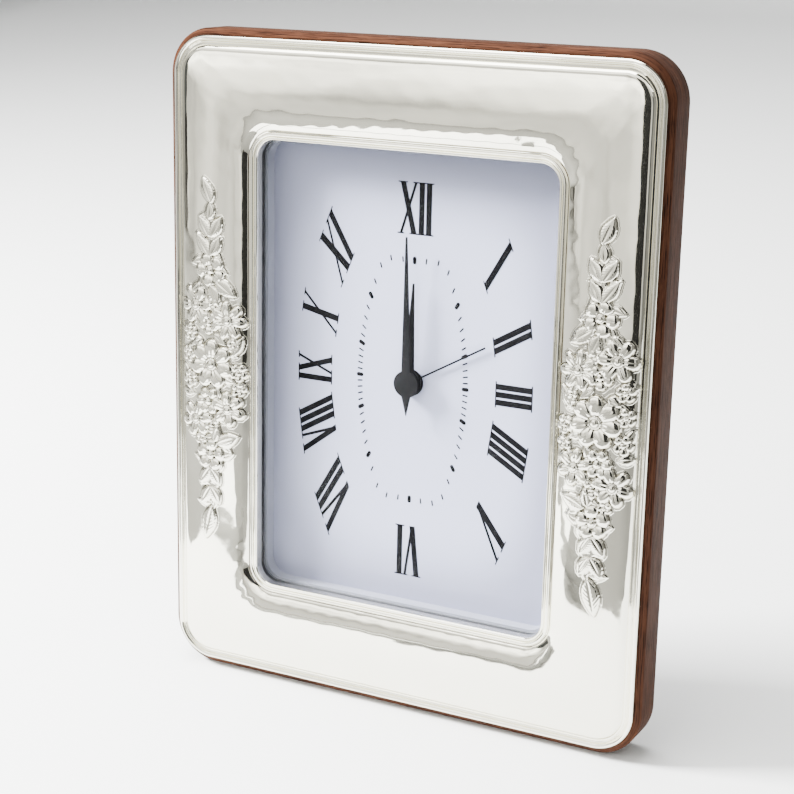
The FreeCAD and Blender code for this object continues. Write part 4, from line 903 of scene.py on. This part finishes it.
# Alarm movement: a moulded black case with its cover, the cell bay below, two fluted setting knobs
# and the slide that switches the alarm.
softened("movement_case", "clock", "moulded_case", 0.22)
softened("movement_cover", "clock", "moulded_cover", 0.30)
softened("time_set_knob", "time_setter", "time_knob", 0.16)
softened("alarm_set_knob", "alarm_setter", "alarm_knob", 0.16)
softened("alarm_switch", "alarm_slider", "alarm_slide", 0.18)
cell_half_length = 25.0
cell_depth = 18.8
cell_level = -19.0
cell_profile = [
    (0.0, 0.0), (5.4, 0.0), (5.9, 0.15), (6.5, 0.15), (6.75, 0.35), (6.9, 0.9), (7.1, 1.1), (7.1, 12.0),
    (7.1, 24.0), (7.1, 36.0), (7.1, 47.2), (6.9, 47.9), (6.3, 48.4), (5.4, 48.55), (4.2, 48.6), (3.4, 48.75),
    (2.75, 49.1), (2.7, 49.75), (2.45, 49.97), (0.0, 50.0),
]
wrapper_start = -0.0241
wrapper_stop = 0.0228
cell_turns = np.radians(np.arange(0, 360, 7.5))
cell_rings = [
    [
        (run - cell_half_length, cell_depth + radius * math.cos(a), cell_level + radius * math.sin(a))
        for a in cell_turns]
    for radius, run in cell_profile]
cell_points = [point for ring in cell_rings for point in ring]
shell = looks["battery_shell"]
shell_tree = shell.node_tree
run_along = add_node(shell_tree, "ShaderNodeSeparateXYZ", Vector=place_on(shell_tree)).outputs["X"]
positive_end = reckon(shell_tree, "GREATER_THAN", run_along, wrapper_stop)
negative_end = reckon(shell_tree, "LESS_THAN", run_along, wrapper_start)
bare_end = reckon(shell_tree, "ADD", positive_end, negative_end)
recoloured(shell, bare_end, (0.62, 0.61, 0.58, 1))
shell_tree.links.new(bare_end, shell_tree.nodes["Principled BSDF"].inputs["Metallic"])
cell = stood_piece("cell", cell_points, skin(cell_rings, False, True), shell, 40.0)
hand_over(cell, "clock", "battery_shell", "battery")

# Easel leg of the same dark board as the back. It swings on a small steel hinge, with one leaf
# screwed to the panel and the other to the leg.
softened("easel_leg", "leg", "easel_board", 0.4)
softened("hinge_leaf_panel", "clock", "hinge_fixed_leaf", 0.12)
softened("hinge_leaf_leg", "leg", "hinge_swing_leaf", 0.12)
softened("leg_screws", "leg", "leg_screw_pair", 0.12)
hinge_out, hinge_depth, hinge_level = 7.0, 12.7, -48.0
hinge_places = [(side * hinge_out, hinge_depth, hinge_level, 0.0) for side in (-1, 1)]
hinge_screw = screw_template("hinge_screw", 1.6, 0.5, 0.8, 2.7)
hinge_screws = laid_out("hinge_screw_pair", hinge_screw, hinge_places, looks["steel"], 3.1, 3)
hand_over(hinge_screws, "clock", "steel", "hinge_screws")
